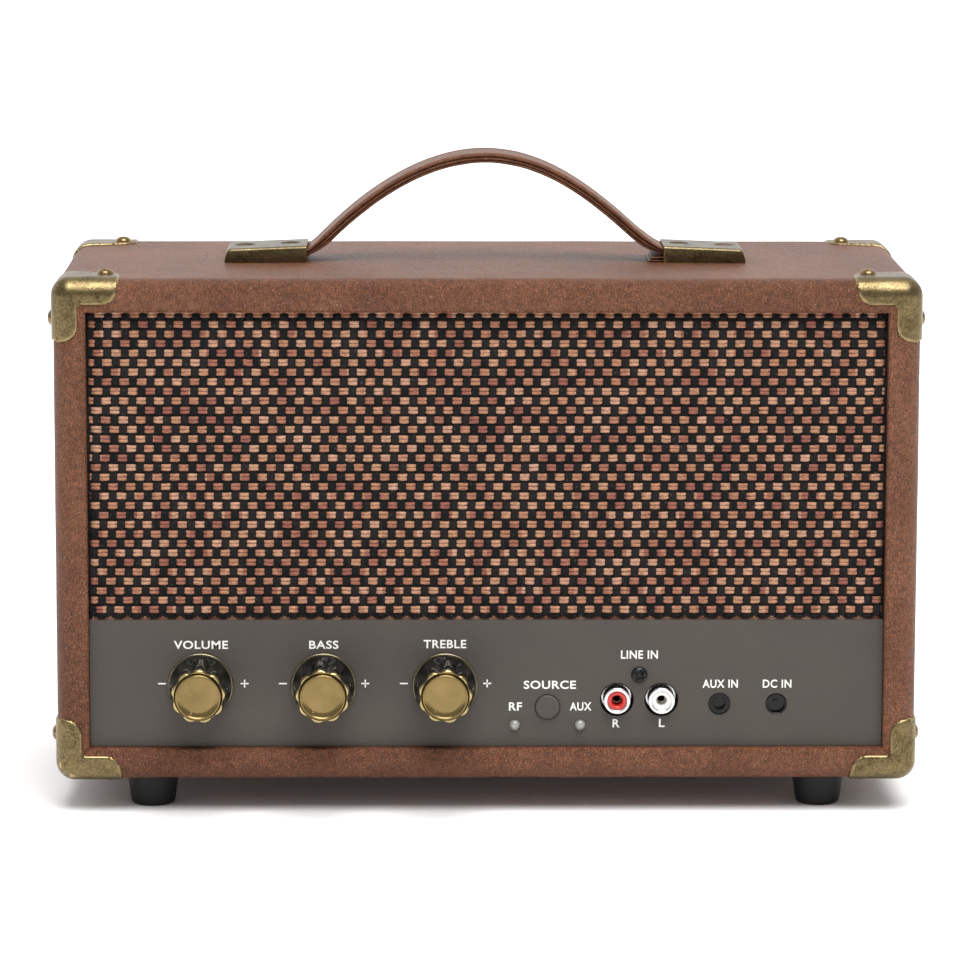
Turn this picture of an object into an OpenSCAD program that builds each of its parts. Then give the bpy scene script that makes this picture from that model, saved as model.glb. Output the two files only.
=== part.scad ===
// Portable amplifier-style radio in a leather-covered wooden case.
// Front towards -Y, +X to the viewer's right, +Z up, millimetres.
// The origin is under the middle of the whole object, on the surface it stands on.

/* [Case] */
// Width of the case over the leather
body_w = 270; // [264:1:300]
// Height of the case without its feet
body_h = 158.5; // [152:0.5:180]
// Depth of the case over the leather
body_d = 118.5; // [112:0.5:150]
// Radius of the outer edges and corners
edge_r = 5.5; // [4:0.5:6]
// Width of the frame that shows round the front opening
frame_face = 10.4; // [10:0.1:12]
// Thickness of the leather covering
skin_t = 0.8; // [0.6:0.1:1]
// Depth from the front edge to the control panel and the grille
recess_d = 3; // [2:0.5:4]
// Depth from the back edge to the rear panel
rear_recess = 2.5; // [2.5:0.5:4]
// Height of the rubber feet
foot_h = 10.5; // [9:0.5:14]

/* [Front] */
// Height of the control panel
panel_h = 40.6; // [38:0.2:42]
// Thickness of the control panel plate
panel_t = 2; // [1.5:0.5:2]
// Thickness of the grille cloth
cloth_t = 1; // [0.6:0.1:1.2]
// Diameter of the speaker openings
driver_d = 68; // [60:1:70]
// Distance of each speaker from the middle
driver_x = 62; // [50:1:72]

/* [Controls] */
// Centres of the three knobs, left to right
knob_x = [-89.8, -51.2, -13.1]; // [-100:0.1:0]
// Height of the knob centres above the underside of the case
knob_z = 30; // [27:0.1:31]
// Height of a knob, from the panel to the end of its cap
knob_len = 19.4; // [18:0.1:22]
// Radius of the metal ring at the foot of a knob
knob_r = 10.4; // [9.8:0.1:11]
// Centre of the source button
button_x = 19.2; // [17:0.1:20]
// Height of the source button above the underside of the case
button_z = 23; // [20:0.1:24]
// Travel of the source button
button_travel = 0.8; // [0.5:0.1:1]
// Centres of the two status lamps
lamp_x = [8.9, 29.5]; // [5:0.1:32]
// Height of the status lamps above the underside of the case
lamp_z = 17.2; // [16:0.1:18]
// Centres of the two phono sockets
phono_x = [41, 55]; // [38:0.1:58]
// Height of the two phono sockets above the underside of the case
phono_z = 25.4; // [24:0.1:27]
// Height of the audio and power sockets above the underside of the case
socket_z = 24; // [22:0.1:25]
// Centre of the 3.5 mm audio socket
aux_x = 73.3; // [70:0.1:76]
// Centre of the power socket
dc_x = 91.2; // [88:0.1:95]

/* [Handle] */
// Height of the strap's top surface above the case
arch_h = 34.9; // [30:0.1:40]
// Half the span between the handle caps
arch_x = 57.5; // [50:0.5:62]
// How much lower the strap runs on its right side
arch_sag = 3.5; // [0:0.5:5]
// Thickness of the strap
strap_t = 3; // [2.4:0.1:3.2]
// Width of the strap
strap_w = 20; // [18:0.5:20]
// Width of a handle cap, front to back
cap_w = 23; // [22.5:0.5:26]

/* [Hidden] */
$fn = 48;
fit = 0.02;
total_h = foot_h + body_h;
board_t = frame_face - 2 * skin_t;
inner_x = body_w / 2 - frame_face + skin_t;
open_x = body_w / 2 - frame_face;
base_z = foot_h;
top_z = total_h;
open_low = base_z + frame_face;
open_high = top_z - frame_face;
inner_low = open_low - skin_t;
inner_high = open_high + skin_t;
bracket_t = 0.5;
front_y = (knob_len - recess_d - body_d - bracket_t) / 2;
back_y = front_y + body_d;
mid_y = (front_y + back_y) / 2;
mid_z = base_z + body_h / 2;
panel_y = front_y + recess_d;
baffle_y = panel_y + panel_t;
baffle_t = 9;
grille_y = baffle_y + 2;
pcb_y = baffle_y + baffle_t;
panel_high = open_low + panel_h;
grille_z = (panel_high + open_high) / 2;
rear_t = 6;
rear_y = back_y - rear_recess - rear_t;
slack = 0.1;

bracket_across = 20.6;
bracket_down = 19.4;
bracket_leg = 8;
bracket_deep = 20.5;
bracket_tip = 14.5;
screw_across = 16;
screw_down = 13.2;
screw_back = 12;

shank_r = 1.4;
bracket_shank = 9;
foot_x = 105.7;
foot_y = 17;
foot_top_r = 8.25;
foot_low_r = 6.9;
wood_shank = 14;
wood_head = 2.2;
cap_screw_x = [62.5, 77];
cap_end = 83.3;
cap_high = 5.4;
cap_low = 4.4;
cap_wall = 1.1;
tab_end = 80;
cleat = 14;

// Cylinder along Y, from y0 to y1.
module rod(x, z, r, y0, y1) {
  translate([x, y0, z]) rotate([-90, 0, 0]) cylinder(r = r, h = y1 - y0);
}

// Box from its low corner to its high corner.
module block(low, high) {
  translate(low) cube(high - low);
}

// Profile turned round an axis along -Y: x is the radius, y the height in front of the plane.
module turned(x, plane_y, z) {
  translate([x, plane_y, z]) rotate([90, 0, 0]) rotate_extrude() children();
}

// The case's outline with every edge rounded, inset all round.
module case_form(inset) {
  r = edge_r - inset;
  hull()
    for (x = [-1, 1], y = [front_y + edge_r, back_y - edge_r], z = [base_z + edge_r, top_z - edge_r])
      translate([x * (body_w / 2 - edge_r), y, z]) sphere(r = r, $fn = 32);
}

// The opening that runs through the case, widened all round.
module through_opening(grow, y0, y1) {
  block([-open_x - grow, y0, open_low - grow], [open_x + grow, y1, open_high + grow]);
}

// Places its children in one corner, built for the right, front and top corner.
module in_corner(side, front, top) {
  translate([0, mid_y, mid_z])
    mirror([side < 0 ? 1 : 0, 0, 0])
      mirror([0, front < 0 ? 1 : 0, 0])
        mirror([0, 0, top < 0 ? 1 : 0])
          translate([body_w / 2, -body_d / 2, body_h / 2]) children();
}

CORNERS = [for (f = [1, -1], t = [1, -1], s = [-1, 1]) [s, f, t]];

// ---- Screws -------------------------------------------------------------

// Domed screw, its head's seat at the origin and its shank along -Z.
module domed_screw() {
  rotate_extrude() intersection() {
    translate([0, -1.14]) circle(r = 2.84);
    square([2.6, 2]);
  }
  translate([0, 0, -bracket_shank]) cylinder(r = shank_r, h = bracket_shank);
}

// Every bracket screw's place in a corner: one through the top plate, one through the side plate.
module bracket_screw_places() {
  for (c = CORNERS) in_corner(c[0], c[1], c[2]) {
    translate([-screw_across, screw_back, bracket_t]) children();
    translate([bracket_t, screw_back, -screw_down]) rotate([0, 90, 0]) children();
  }
}

module bracket_screw_holes() {
  bracket_screw_places() translate([0, 0, -bracket_shank - 1])
    cylinder(r = shank_r + fit, h = bracket_shank + 3);
}

// Pan-head wood screw, its head's seat at the origin and its shank along +Z.
module wood_screw() {
  cylinder(r = 1.5, h = wood_shank);
  translate([0, 0, -wood_head]) cylinder(r = 3.1, h = wood_head);
}

module foot_places() {
  for (x = [-1, 1], y = [front_y + foot_y, back_y - foot_y]) translate([x * foot_x, y, 0]) children();
}

module rear_screw_places() {
  for (x = [-1, 1], z = [inner_low + 12, mid_z - 22, mid_z + 22, inner_high - 12])
    translate([x * (inner_x - cleat / 2), back_y - rear_recess, z]) rotate([90, 0, 0]) children();
}

module wood_screws() color("#1c1b1a") {
  foot_places() translate([0, 0, foot_h / 2]) wood_screw();
  rear_screw_places() wood_screw();
}

module wood_screw_holes() {
  foot_places() cylinder(r = 1.5 + fit, h = foot_h / 2 + wood_shank + 0.5);
  rear_screw_places() translate([0, 0, -1]) cylinder(r = 1.5 + fit, h = wood_shank + 1.5);
}

module handle_screw_places() {
  for (s = [-1, 1], x = cap_screw_x) translate([s * x, mid_y, top_z]) children();
}

// Countersunk screw through a handle cap, the strap's end and the top board.
module handle_screws() color("#8a7440")
  handle_screw_places() {
    translate([0, 0, -board_t]) cylinder(r = 1.5, h = board_t + 3.4);
    translate([0, 0, 3.4]) cylinder(r1 = 1.5, r2 = 2.6, h = 1.4);
  }

module handle_screw_holes() {
  handle_screw_places() {
    translate([0, 0, -board_t - 1]) cylinder(r = 1.5 + fit, h = board_t + 8);
    translate([0, 0, 3.4]) cylinder(r1 = 1.5 + fit, r2 = 2.6 + fit, h = 1.4);
    translate([0, 0, 4.8]) cylinder(r = 2.6 + fit, h = 3);
  }
}

// ---- Case ---------------------------------------------------------------

// One board: the part of the case's core inside a box, less the holes of its screws.
module board(low, high) color("#b08d62")
  difference() {
    intersection() {
      case_form(skin_t);
      block(low, high);
    }
    bracket_screw_holes();
    wood_screw_holes();
    handle_screw_holes();
  }

module top_board() board([-body_w, front_y, inner_high], [body_w, back_y, top_z]);
module bottom_board() board([-body_w, front_y, base_z], [body_w, back_y, inner_low]);
module left_board() board([-body_w, front_y, inner_low], [-inner_x, back_y, inner_high]);
module right_board() board([inner_x, front_y, inner_low], [body_w, back_y, inner_high]);

module leather_wrap() color("#7a4530")
  difference() {
    case_form(0);
    through_opening(0, front_y - 1, back_y + 1);
    difference() {
      case_form(skin_t);
      through_opening(skin_t, front_y, back_y);
    }
    through_opening(skin_t, baffle_y, back_y - rear_recess);
    bracket_screw_holes();
    wood_screw_holes();
    handle_screw_holes();
  }

cut_low = open_low + 3.5;
cut_high = panel_high - 3;
cut_x = 112;

module baffle_board() color("#a98a63")
  difference() {
    block([-inner_x, baffle_y, inner_low], [inner_x, pcb_y, inner_high]);
    block([-body_w, baffle_y - 1, panel_high], [body_w, grille_y, top_z]);
    block([-cut_x, baffle_y - 1, cut_low], [cut_x, pcb_y + 1, cut_high]);
    for (s = [-1, 1]) {
      rod(s * driver_x, grille_z, driver_d / 2, baffle_y - 1, pcb_y + 1);
      driver_screw_places(s) rotate([90, 0, 0]) cylinder(r = 1.2 + fit, h = 6);
    }
  }

module grille_board() color("#8f7a5c")
  difference() {
    block([-open_x + cloth_t + slack, panel_y + cloth_t, panel_high + cloth_t + slack],
          [open_x - cloth_t - slack, grille_y, open_high - cloth_t - slack]);
    for (s = [-1, 1]) rod(s * driver_x, grille_z, driver_d / 2 + 2, panel_y, grille_y + 1);
  }

module grille_cloth() color("#5a4232")
  difference() {
    block([-open_x + slack, panel_y, panel_high + slack], [open_x - slack, grille_y, open_high - slack]);
    block([-open_x + cloth_t + slack, panel_y + cloth_t, panel_high + cloth_t + slack],
          [open_x - cloth_t - slack, grille_y + 1, open_high - cloth_t - slack]);
  }

module rear_cleats() color("#b08d62")
  difference() {
    for (s = [-1, 1]) block([s * inner_x - (s > 0 ? cleat : 0), rear_y - cleat, inner_low],
                            [s * inner_x + (s > 0 ? 0 : cleat), rear_y, inner_high]);
    wood_screw_holes();
  }

module rear_panel() color("#26221f")
  difference() {
    through_opening(-slack, rear_y, back_y - rear_recess);
    wood_screw_holes();
  }

// Stamped corner bracket: a front L, a plate over the top edge and a plate over the side edge.
module bracket_plates() {
  // L on the front
  rotate([90, 0, 0]) translate([0, 0, -edge_r]) linear_extrude(edge_r + 2)
    difference() {
      translate([-bracket_across, -bracket_down]) square([bracket_across + 2, bracket_down + 2]);
      translate([-bracket_across - 1, -bracket_down - 1])
        square([bracket_across + 1 - bracket_leg, bracket_down + 1 - bracket_leg]);
      translate([-bracket_leg, -bracket_leg]) difference() {
        translate([-1.5, -1.5]) square(1.5);
        translate([-1.5, -1.5]) circle(r = 1.5);
      }
    }
  // plate on the top
  translate([0, 0, -edge_r]) linear_extrude(edge_r + 2) plate_outline(bracket_across);
  // plate on the side, the same kind of outline turned down
  rotate([0, -90, 0]) translate([0, 0, -2]) linear_extrude(edge_r + 2) plate_outline(bracket_down);
}

// Outline of a plate from the corner: deep at the corner and shallower at its tip.
module plate_outline(reach)
  polygon([[2, -2], [2, bracket_deep], [-4, bracket_deep], [-reach + 3, bracket_tip + 3],
           [-reach, bracket_tip], [-reach, -2]]);

module corner_bracket(side, front, top) color("#8a7440")
  difference() {
    intersection() {
      difference() {
        case_form(-bracket_t);
        case_form(0);
      }
      in_corner(side, front, top) bracket_plates();
    }
    bracket_screw_holes();
  }

module bracket_front_top_left() corner_bracket(-1, 1, 1);
module bracket_front_top_right() corner_bracket(1, 1, 1);
module bracket_front_bottom_left() corner_bracket(-1, 1, -1);
module bracket_front_bottom_right() corner_bracket(1, 1, -1);
module bracket_back_top_left() corner_bracket(-1, -1, 1);
module bracket_back_top_right() corner_bracket(1, -1, 1);
module bracket_back_bottom_left() corner_bracket(-1, -1, -1);
module bracket_back_bottom_right() corner_bracket(1, -1, -1);
module bracket_screws() color("#8a7440") bracket_screw_places() domed_screw();

module foot(x, y) color("#161616")
  difference() {
    translate([x * foot_x, y, 0]) cylinder(r1 = foot_low_r, r2 = foot_top_r, h = foot_h);
    translate([x * foot_x, y, -1]) cylinder(r = 3.6, h = foot_h / 2 + 1);
    wood_screw_holes();
  }

module foot_front_left() foot(-1, front_y + foot_y);
module foot_front_right() foot(1, front_y + foot_y);
module foot_back_left() foot(-1, back_y - foot_y);
module foot_back_right() foot(1, back_y - foot_y);

// ---- Handle -------------------------------------------------------------

// Height of the strap's middle line above the case, its slope and a point beside it.
function arch_z(x) =
  let (u = x / arch_x) (1 - u * u) * (arch_h - strap_t / 2 - arch_sag * u * u * (1 + u));
function arch_slope(x) = (arch_z(x + 0.1) - arch_z(x - 0.1)) / 0.2;
function arch_point(x, off) =
  let (m = arch_slope(x), n = sqrt(1 + m * m)) [x - off * m / n, arch_z(x) + off / n];

module handle_strap() color("#6e3d2b") {
  steps = 40;
  reach = arch_x - 3;
  xs = [for (i = [0 : steps]) -reach + 2 * reach * i / steps];
  upper = [for (x = xs) arch_point(x, strap_t / 2)];
  lower = [for (i = [steps : -1 : 0]) arch_point(xs[i], -strap_t / 2)];
  difference() {
    translate([0, mid_y + strap_w / 2, top_z]) rotate([90, 0, 0]) linear_extrude(strap_w)
      polygon(concat([[-tab_end, 0], [-tab_end, strap_t], [-arch_x - 1, strap_t]], upper,
                     [[arch_x + 1, strap_t], [tab_end, strap_t], [tab_end, 0], [arch_x - 2, 0]], lower,
                     [[-arch_x + 2, 0]]));
    handle_screw_holes();
  }
}

// Side view of a cap, shrunk by its wall.
module cap_profile(wall)
  polygon([[arch_x - 0.5 - wall, 0], [arch_x - 0.5 - wall, cap_high - wall],
           [cap_end - 2 - wall / 2, cap_low - wall], [cap_end - wall, cap_low - 1.8 - wall / 2],
           [cap_end - wall, 0]]);

module handle_cap(side) color("#8a7440")
  difference() {
    translate([0, mid_y, top_z]) mirror([side < 0 ? 1 : 0, 0, 0]) difference() {
      translate([0, cap_w / 2, 0]) rotate([90, 0, 0]) linear_extrude(cap_w) cap_profile(0);
      translate([0, cap_w / 2 - cap_wall, -1]) rotate([90, 0, 0]) linear_extrude(cap_w - 2 * cap_wall)
        union() {
          cap_profile(cap_wall);
          translate([0, 1]) cap_profile(cap_wall);
        }
    }
    handle_screw_holes();
  }

module handle_cap_left() handle_cap(-1);
module handle_cap_right() handle_cap(1);

// ---- Speakers -----------------------------------------------------------

flange_r = 41.5;
flange_t = 1.5;
driver_screw_r = 39;
basket_h = 20;
plate_r = 22;
pole_r = 6;
former_r = 6.4;
gap_r = 7.4;

module driver_screw_places(side) {
  for (a = [45 : 90 : 315])
    translate([side * driver_x + driver_screw_r * cos(a), pcb_y + 0.01, grille_z + driver_screw_r * sin(a)])
      children();
}

module speaker_screws() color("#3a3a3c")
  for (s = [-1, 1]) driver_screw_places(s) {
    rotate([90, 0, 0]) cylinder(r = 1.2, h = 5);
    translate([0, flange_t, 0]) rotate([-90, 0, 0]) cylinder(r = 2.1, h = 1.6);
    rotate([-90, 0, 0]) cylinder(r = 1.2, h = flange_t + 0.1);
  }

// Profile turned round an axis along +Y behind the baffle.
module turned_back(x) {
  translate([x, pcb_y, grille_z]) rotate([-90, 0, 0]) rotate_extrude() children();
}

module speaker_baskets() color("#2b2b2d")
  for (s = [-1, 1]) difference() {
    turned_back(s * driver_x)
      polygon([[35.7, 0], [flange_r, 0], [flange_r, flange_t], [36.6, flange_t], [24, basket_h],
               [gap_r + 0.6, basket_h], [gap_r + 0.6, basket_h - 1.2], [23, basket_h - 1.2], [33.4, 2.6],
               [33.4, 1.2 + fit], [35.7, 1.2 + fit]]);
    for (a = [0 : 60 : 300])
      translate([s * driver_x, pcb_y + 5, grille_z]) rotate([0, a, 0]) block([20, 0, -6], [40, 11, 6]);
    driver_screw_places(s) rotate([-90, 0, 0]) cylinder(r = 1.2 + fit, h = 3);
  }

module speaker_magnets() color("#4b4b4e")
  for (s = [-1, 1]) turned_back(s * driver_x)
    polygon([[0, 18], [pole_r, 18], [pole_r, 36], [gap_r, 36], [gap_r, basket_h], [plate_r, basket_h],
             [plate_r, 38], [18, 41], [0, 41]]);

// Half-roll of rubber between the basket and the cone.
module surround(s) color("#141414")
  turned_back(s * driver_x) difference() {
    union() {
      translate([31.5, 1]) circle(r = 2.6);
      block_2d([28.4, 0.6], [35.4, 1.2]);
    }
    translate([31.5, 1]) circle(r = 2);
    block_2d([28.9, 1.2], [34.1, 5]);
  }

module block_2d(low, high) {
  translate(low) square(high - low);
}

module left_surround() surround(-1);
module right_surround() surround(1);

// Paper cone with its voice-coil former and dust cap, in one piece.
module cone(s) color("#1d1d1f")
  turned_back(s * driver_x) {
    polygon([[28.4, 1.2], [29.4, 1.2], [29.4, 1.8], [former_r + 0.5, 15.4], [former_r + 0.5, 32],
             [former_r, 32], [former_r, 15], [28.4, 1.8]]);
    intersection() {
      difference() {
        translate([0, 23]) circle(r = 13.6);
        translate([0, 23]) circle(r = 13);
      }
      block_2d([0, 8], [9.6, 14.2]);
    }
  }

module left_cone() cone(-1);
module right_cone() cone(1);

// ---- Control panel ------------------------------------------------------

row_z = base_z + knob_z;
press_z = base_z + button_z;
glow_z = base_z + lamp_z;
jack_z = base_z + socket_z;
pair_z = base_z + phono_z;
phono_screw_x = 48;
phono_screw_z = base_z + 33.3;
bush_r = 3.5;
shaft_r = 3;
button_r = 3.85;
lamp_r = 1.75;
sleeve_r = 4.15;
phono_hole_r = 5.35;
phono_core_r = 3.05;
aux_r = 3.5;
dc_r = 3.45;

module control_panel() color("#57504a")
  difference() {
    block([-open_x + slack, panel_y, open_low + slack], [open_x - slack, baffle_y, panel_high - slack]);
    for (x = knob_x) rod(x, row_z, bush_r + fit, panel_y - 1, baffle_y + 1);
    rod(button_x, press_z, button_r + 0.2, panel_y - 1, baffle_y + 1);
    for (x = lamp_x) rod(x, glow_z, lamp_r + fit, panel_y - 1, baffle_y + 1);
    for (x = phono_x) rod(x, pair_z, phono_hole_r, panel_y - 1, baffle_y + 1);
    rod(phono_screw_x, phono_screw_z, 1.3 + fit, panel_y - 1, baffle_y + 1);
    rod(aux_x, jack_z, aux_r + fit, panel_y - 1, baffle_y + 1);
    rod(dc_x, jack_z, dc_r + fit, panel_y - 1, baffle_y + 1);
  }

module potentiometers() color("#9b9b9d")
  for (x = knob_x) difference() {
    union() {
      rod(x, row_z, bush_r, panel_y - 3.6, baffle_y + 1);
      rod(x, row_z, 8.2, baffle_y, pcb_y - 0.5);
      block([x - 6, baffle_y + 3, row_z - 11], [x + 6, pcb_y, row_z - 6]);
    }
    rod(x, row_z, shaft_r + 0.05, panel_y - 5, pcb_y - 2);
  }

module pot_nuts() color("#c9c4b8")
  for (x = knob_x) difference() {
    translate([x, panel_y - 2, row_z]) rotate([-90, 0, 0]) cylinder(r = 5.5, h = 2, $fn = 6);
    rod(x, row_z, bush_r + fit, panel_y - 3, panel_y + 1);
  }

shaft_len = 13;

module knob_shaft(i) color("#b9b4a8")
  rod(knob_x[i], row_z, shaft_r, panel_y - shaft_len, pcb_y - 2.5);

module volume_shaft() knob_shaft(0);
module bass_shaft() knob_shaft(1);
module treble_shaft() knob_shaft(2);

cap_len = 4.6;
skirt_top = knob_len - cap_len;

// Fluted skirt: a ring at the foot, a tapering body with nine scoops, hollow over the nut.
module knob_skirt(i) color("#141312")
  difference() {
    turned(knob_x[i], panel_y, row_z)
      polygon([[0, 0.6], [knob_r, 0.6], [knob_r, 1.8], [9.7, 2.4], [9.2, skirt_top - 4.4],
               [8.2, skirt_top], [0, skirt_top]]);
    for (a = [0 : 40 : 320])
      translate([knob_x[i], 0, row_z]) rotate([0, a, 0])
        rod(12.2, 0, 3.2, panel_y - skirt_top - 1, panel_y - 4);
    rod(knob_x[i], row_z, 6.5, panel_y - 4.6, panel_y);
    rod(knob_x[i], row_z, shaft_r + fit, panel_y - shaft_len - 0.1, panel_y);
  }

module volume_knob() knob_skirt(0);
module bass_knob() knob_skirt(1);
module treble_knob() knob_skirt(2);

lobe_len = 3.2;

// Brass cap with nine lobes and a shallow dished face.
module knob_cap(i) color("#a3875a")
  translate([knob_x[i], panel_y - skirt_top, row_z]) rotate([90, 0, 0]) difference() {
    union() {
      cylinder(r = 7.9, h = lobe_len);
      for (a = [0 : 40 : 320])
        translate([6.1 * cos(a), 6.1 * sin(a), 0]) cylinder(r = 2.4, h = lobe_len);
      cylinder(r = 7.2, h = cap_len);
    }
    translate([0, 0, cap_len - 0.4]) cylinder(r = 6.4, h = 1);
  }

module volume_cap() knob_cap(0);
module bass_cap() knob_cap(1);
module treble_cap() knob_cap(2);

module function_button() color("#4c4641") {
  rod(button_x, press_z, button_r, panel_y - 0.9, baffle_y + 1);
  rod(button_x, press_z, button_r + 1, baffle_y + 0.1, baffle_y + 1.2);
  rod(button_x, press_z, 1.7, baffle_y + 1, baffle_y + 5);
}

module tact_switch() color("#222224")
  difference() {
    block([button_x - 3, pcb_y - 4.6, press_z - 3], [button_x + 3, pcb_y, press_z + 3]);
    rod(button_x, press_z, 2.05, pcb_y - 5, pcb_y - 2.6);
  }

module status_lamps() color([0.92, 0.92, 0.88, 0.6])
  for (x = lamp_x) {
    rod(x, glow_z, lamp_r, panel_y - 0.2, baffle_y + 1);
    intersection() {
      translate([x, panel_y + 0.2, glow_z]) sphere(r = lamp_r);
      block([x - 3, panel_y - 3, glow_z - 3], [x + 3, panel_y, glow_z + 3]);
    }
    rod(x, glow_z, lamp_r + 0.4, baffle_y, baffle_y + 1);
    block([x - 1.2, baffle_y + 1, glow_z - 0.3], [x + 1.2, pcb_y, glow_z + 0.3]);
  }

well = 5;
collar_r = 4.7;

module phono_block() color("#181818")
  difference() {
    block([phono_x[0] - 7, baffle_y, pair_z - 6.6], [phono_x[1] + 7, pcb_y, phono_screw_z + 3.5]);
    for (x = phono_x) {
      rod(x, pair_z, phono_hole_r, baffle_y - 1, panel_y + well);
      rod(x, pair_z, collar_r, baffle_y - 1, pcb_y - 1);
    }
    rod(phono_screw_x, phono_screw_z, 1.3 + fit, baffle_y - 1, pcb_y + 1);
  }

module phono_sleeves() color("#c8c5bd")
  for (x = phono_x) difference() {
    union() {
      rod(x, pair_z, sleeve_r, panel_y - 2.7, panel_y + well + 1);
      rod(x, pair_z, collar_r, panel_y + well, pcb_y - 1);
    }
    rod(x, pair_z, phono_core_r, panel_y - 4, pcb_y);
  }

module phono_insulator(x, shade) color(shade)
  difference() {
    rod(x, pair_z, phono_core_r, panel_y - 2.3, pcb_y - 1);
    rod(x, pair_z, 1.65, panel_y - 4, pcb_y - 2);
  }

module phono_insulator_red() phono_insulator(phono_x[0], "#c02418");
module phono_insulator_white() phono_insulator(phono_x[1], "#eceae4");

module phono_screw() color("#1c1b1a") {
  rod(phono_screw_x, phono_screw_z, 1.3, panel_y - 0.1, pcb_y - 2);
  turned(phono_screw_x, panel_y, phono_screw_z)
    polygon([[0, 0], [2.55, 0], [2.4, 0.8], [1.6, 1.5], [0, 1.6]]);
}

// Round neck in the panel with a square body behind it and a bore for the plug.
module socket(x, neck_r, bore_r, bore_deep) {
  difference() {
    union() {
      rod(x, jack_z, neck_r, panel_y, baffle_y + 1);
      block([x - 5, baffle_y, jack_z - 5], [x + 5, pcb_y, jack_z + 5]);
    }
    rod(x, jack_z, bore_r, panel_y - 1, panel_y + bore_deep);
  }
}

module aux_jack() color("#1a1a1a") socket(aux_x, aux_r, 1.8, 9.5);

module dc_jack() color("#101010") {
  socket(dc_x, dc_r, 2.85, 9.5);
  rod(dc_x, jack_z, 1.05, panel_y + 1, panel_y + 9.6);
}

// Circuit board behind the panel, with its larger components.
module main_board() color("#2c5a3a") {
  board_x = 108;
  block([-board_x, pcb_y, cut_low + 1], [board_x, pcb_y + 1.6, cut_high - 1]);
  for (x = [-70, -58, 62, 74]) rod(x, row_z - 4, 5, pcb_y + 1.5, pcb_y + 18);
  for (x = [-30, 84]) block([x, pcb_y + 1.5, row_z - 10], [x + 12, pcb_y + 9, row_z + 4]);
  block([0, pcb_y + 1.5, row_z - 11], [26, pcb_y + 12, row_z + 4]);
}

pack_y = 20;

module battery_pack() color("#2d5f9e")
  for (x = [-1, 1])
    translate([x * 9.3 - 34, pack_y, inner_low + 9.2]) rotate([-90, 0, 0])
      translate([0, 0, -32.5]) cylinder(r = 9.2, h = 65);

module battery_clamp() color("#c4c4c6")
  difference() {
    block([-34 - 24, pack_y - 8, inner_low], [-34 + 24, pack_y + 8, inner_low + 19.6]);
    block([-34 - 18.6, pack_y - 9, inner_low - 1], [-34 + 18.6, pack_y + 9, inner_low + 18.5]);
    for (s = [-1, 1])
      block([-34 + s * 22 - 3.3, pack_y - 9, inner_low + 1.2], [-34 + s * 22 + 3.3, pack_y + 9, 99]);
  }

top_board();
bottom_board();
left_board();
right_board();
leather_wrap();
baffle_board();
grille_board();
grille_cloth();
control_panel();
rear_cleats();
rear_panel();
wood_screws();
bracket_front_top_left();
bracket_front_top_right();
bracket_front_bottom_left();
bracket_front_bottom_right();
bracket_back_top_left();
bracket_back_top_right();
bracket_back_bottom_left();
bracket_back_bottom_right();
bracket_screws();
handle_strap();
handle_cap_left();
handle_cap_right();
handle_screws();
foot_front_left();
foot_front_right();
foot_back_left();
foot_back_right();
speaker_baskets();
speaker_magnets();
left_surround();
right_surround();
left_cone();
right_cone();
speaker_screws();
main_board();
battery_pack();
battery_clamp();
potentiometers();
pot_nuts();
tact_switch();
status_lamps();
phono_block();
phono_sleeves();
phono_insulator_red();
phono_insulator_white();
phono_screw();
aux_jack();
dc_jack();
volume_knob();
volume_cap();
volume_shaft();
bass_knob();
bass_cap();
bass_shaft();
treble_knob();
treble_cap();
treble_shaft();
function_button();
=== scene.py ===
"""Looks of a leather-covered portable radio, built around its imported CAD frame. Units are metres."""

import math
import random

import bmesh
import bpy
from mathutils import Matrix, Vector, noise


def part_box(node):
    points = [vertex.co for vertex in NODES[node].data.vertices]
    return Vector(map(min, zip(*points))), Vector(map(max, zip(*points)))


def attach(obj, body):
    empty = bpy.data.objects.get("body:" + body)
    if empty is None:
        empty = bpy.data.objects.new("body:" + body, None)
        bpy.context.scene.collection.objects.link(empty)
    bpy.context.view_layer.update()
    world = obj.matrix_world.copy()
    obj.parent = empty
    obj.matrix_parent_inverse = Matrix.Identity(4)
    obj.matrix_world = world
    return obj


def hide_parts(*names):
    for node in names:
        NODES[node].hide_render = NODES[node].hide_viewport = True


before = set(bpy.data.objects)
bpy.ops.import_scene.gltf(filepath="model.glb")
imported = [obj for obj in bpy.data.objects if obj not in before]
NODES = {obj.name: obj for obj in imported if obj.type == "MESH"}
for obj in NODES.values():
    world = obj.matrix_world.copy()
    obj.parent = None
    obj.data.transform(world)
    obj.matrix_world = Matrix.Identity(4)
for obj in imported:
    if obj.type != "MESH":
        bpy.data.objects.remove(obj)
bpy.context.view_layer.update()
MM = 0.001

# ---- Camera ----

CAMERA_PLACE = Vector((-0.024, -1.5012, 0.336))
CAMERA_PITCH = 0.1571
CAMERA_YAW = 0.0150
CAMERA_ROLL = 0.0022
CAMERA_LENS = 176.75


def make_camera():
    """A long lens in front of the object, a little above it and turned slightly to the right."""
    data = bpy.data.cameras.new("camera")
    data.lens = CAMERA_LENS
    data.clip_end = 50
    camera = bpy.data.objects.new("camera", data)
    bpy.context.scene.collection.objects.link(camera)
    flat = Vector((math.sin(CAMERA_YAW), math.cos(CAMERA_YAW), 0))
    forward = flat * math.cos(CAMERA_PITCH) - Vector((0, 0, math.sin(CAMERA_PITCH)))
    level_right = Vector((math.cos(CAMERA_YAW), -math.sin(CAMERA_YAW), 0))
    level_up = level_right.cross(forward)
    right = level_right * math.cos(CAMERA_ROLL) + level_up * math.sin(CAMERA_ROLL)
    up = right.cross(forward)
    camera.matrix_world = Matrix.LocRotScale(
        CAMERA_PLACE, Matrix((right, up, -forward)).transposed().to_quaternion(), None)
    bpy.context.scene.camera = camera


make_camera()

# ---- Places taken from the frame ----

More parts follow.
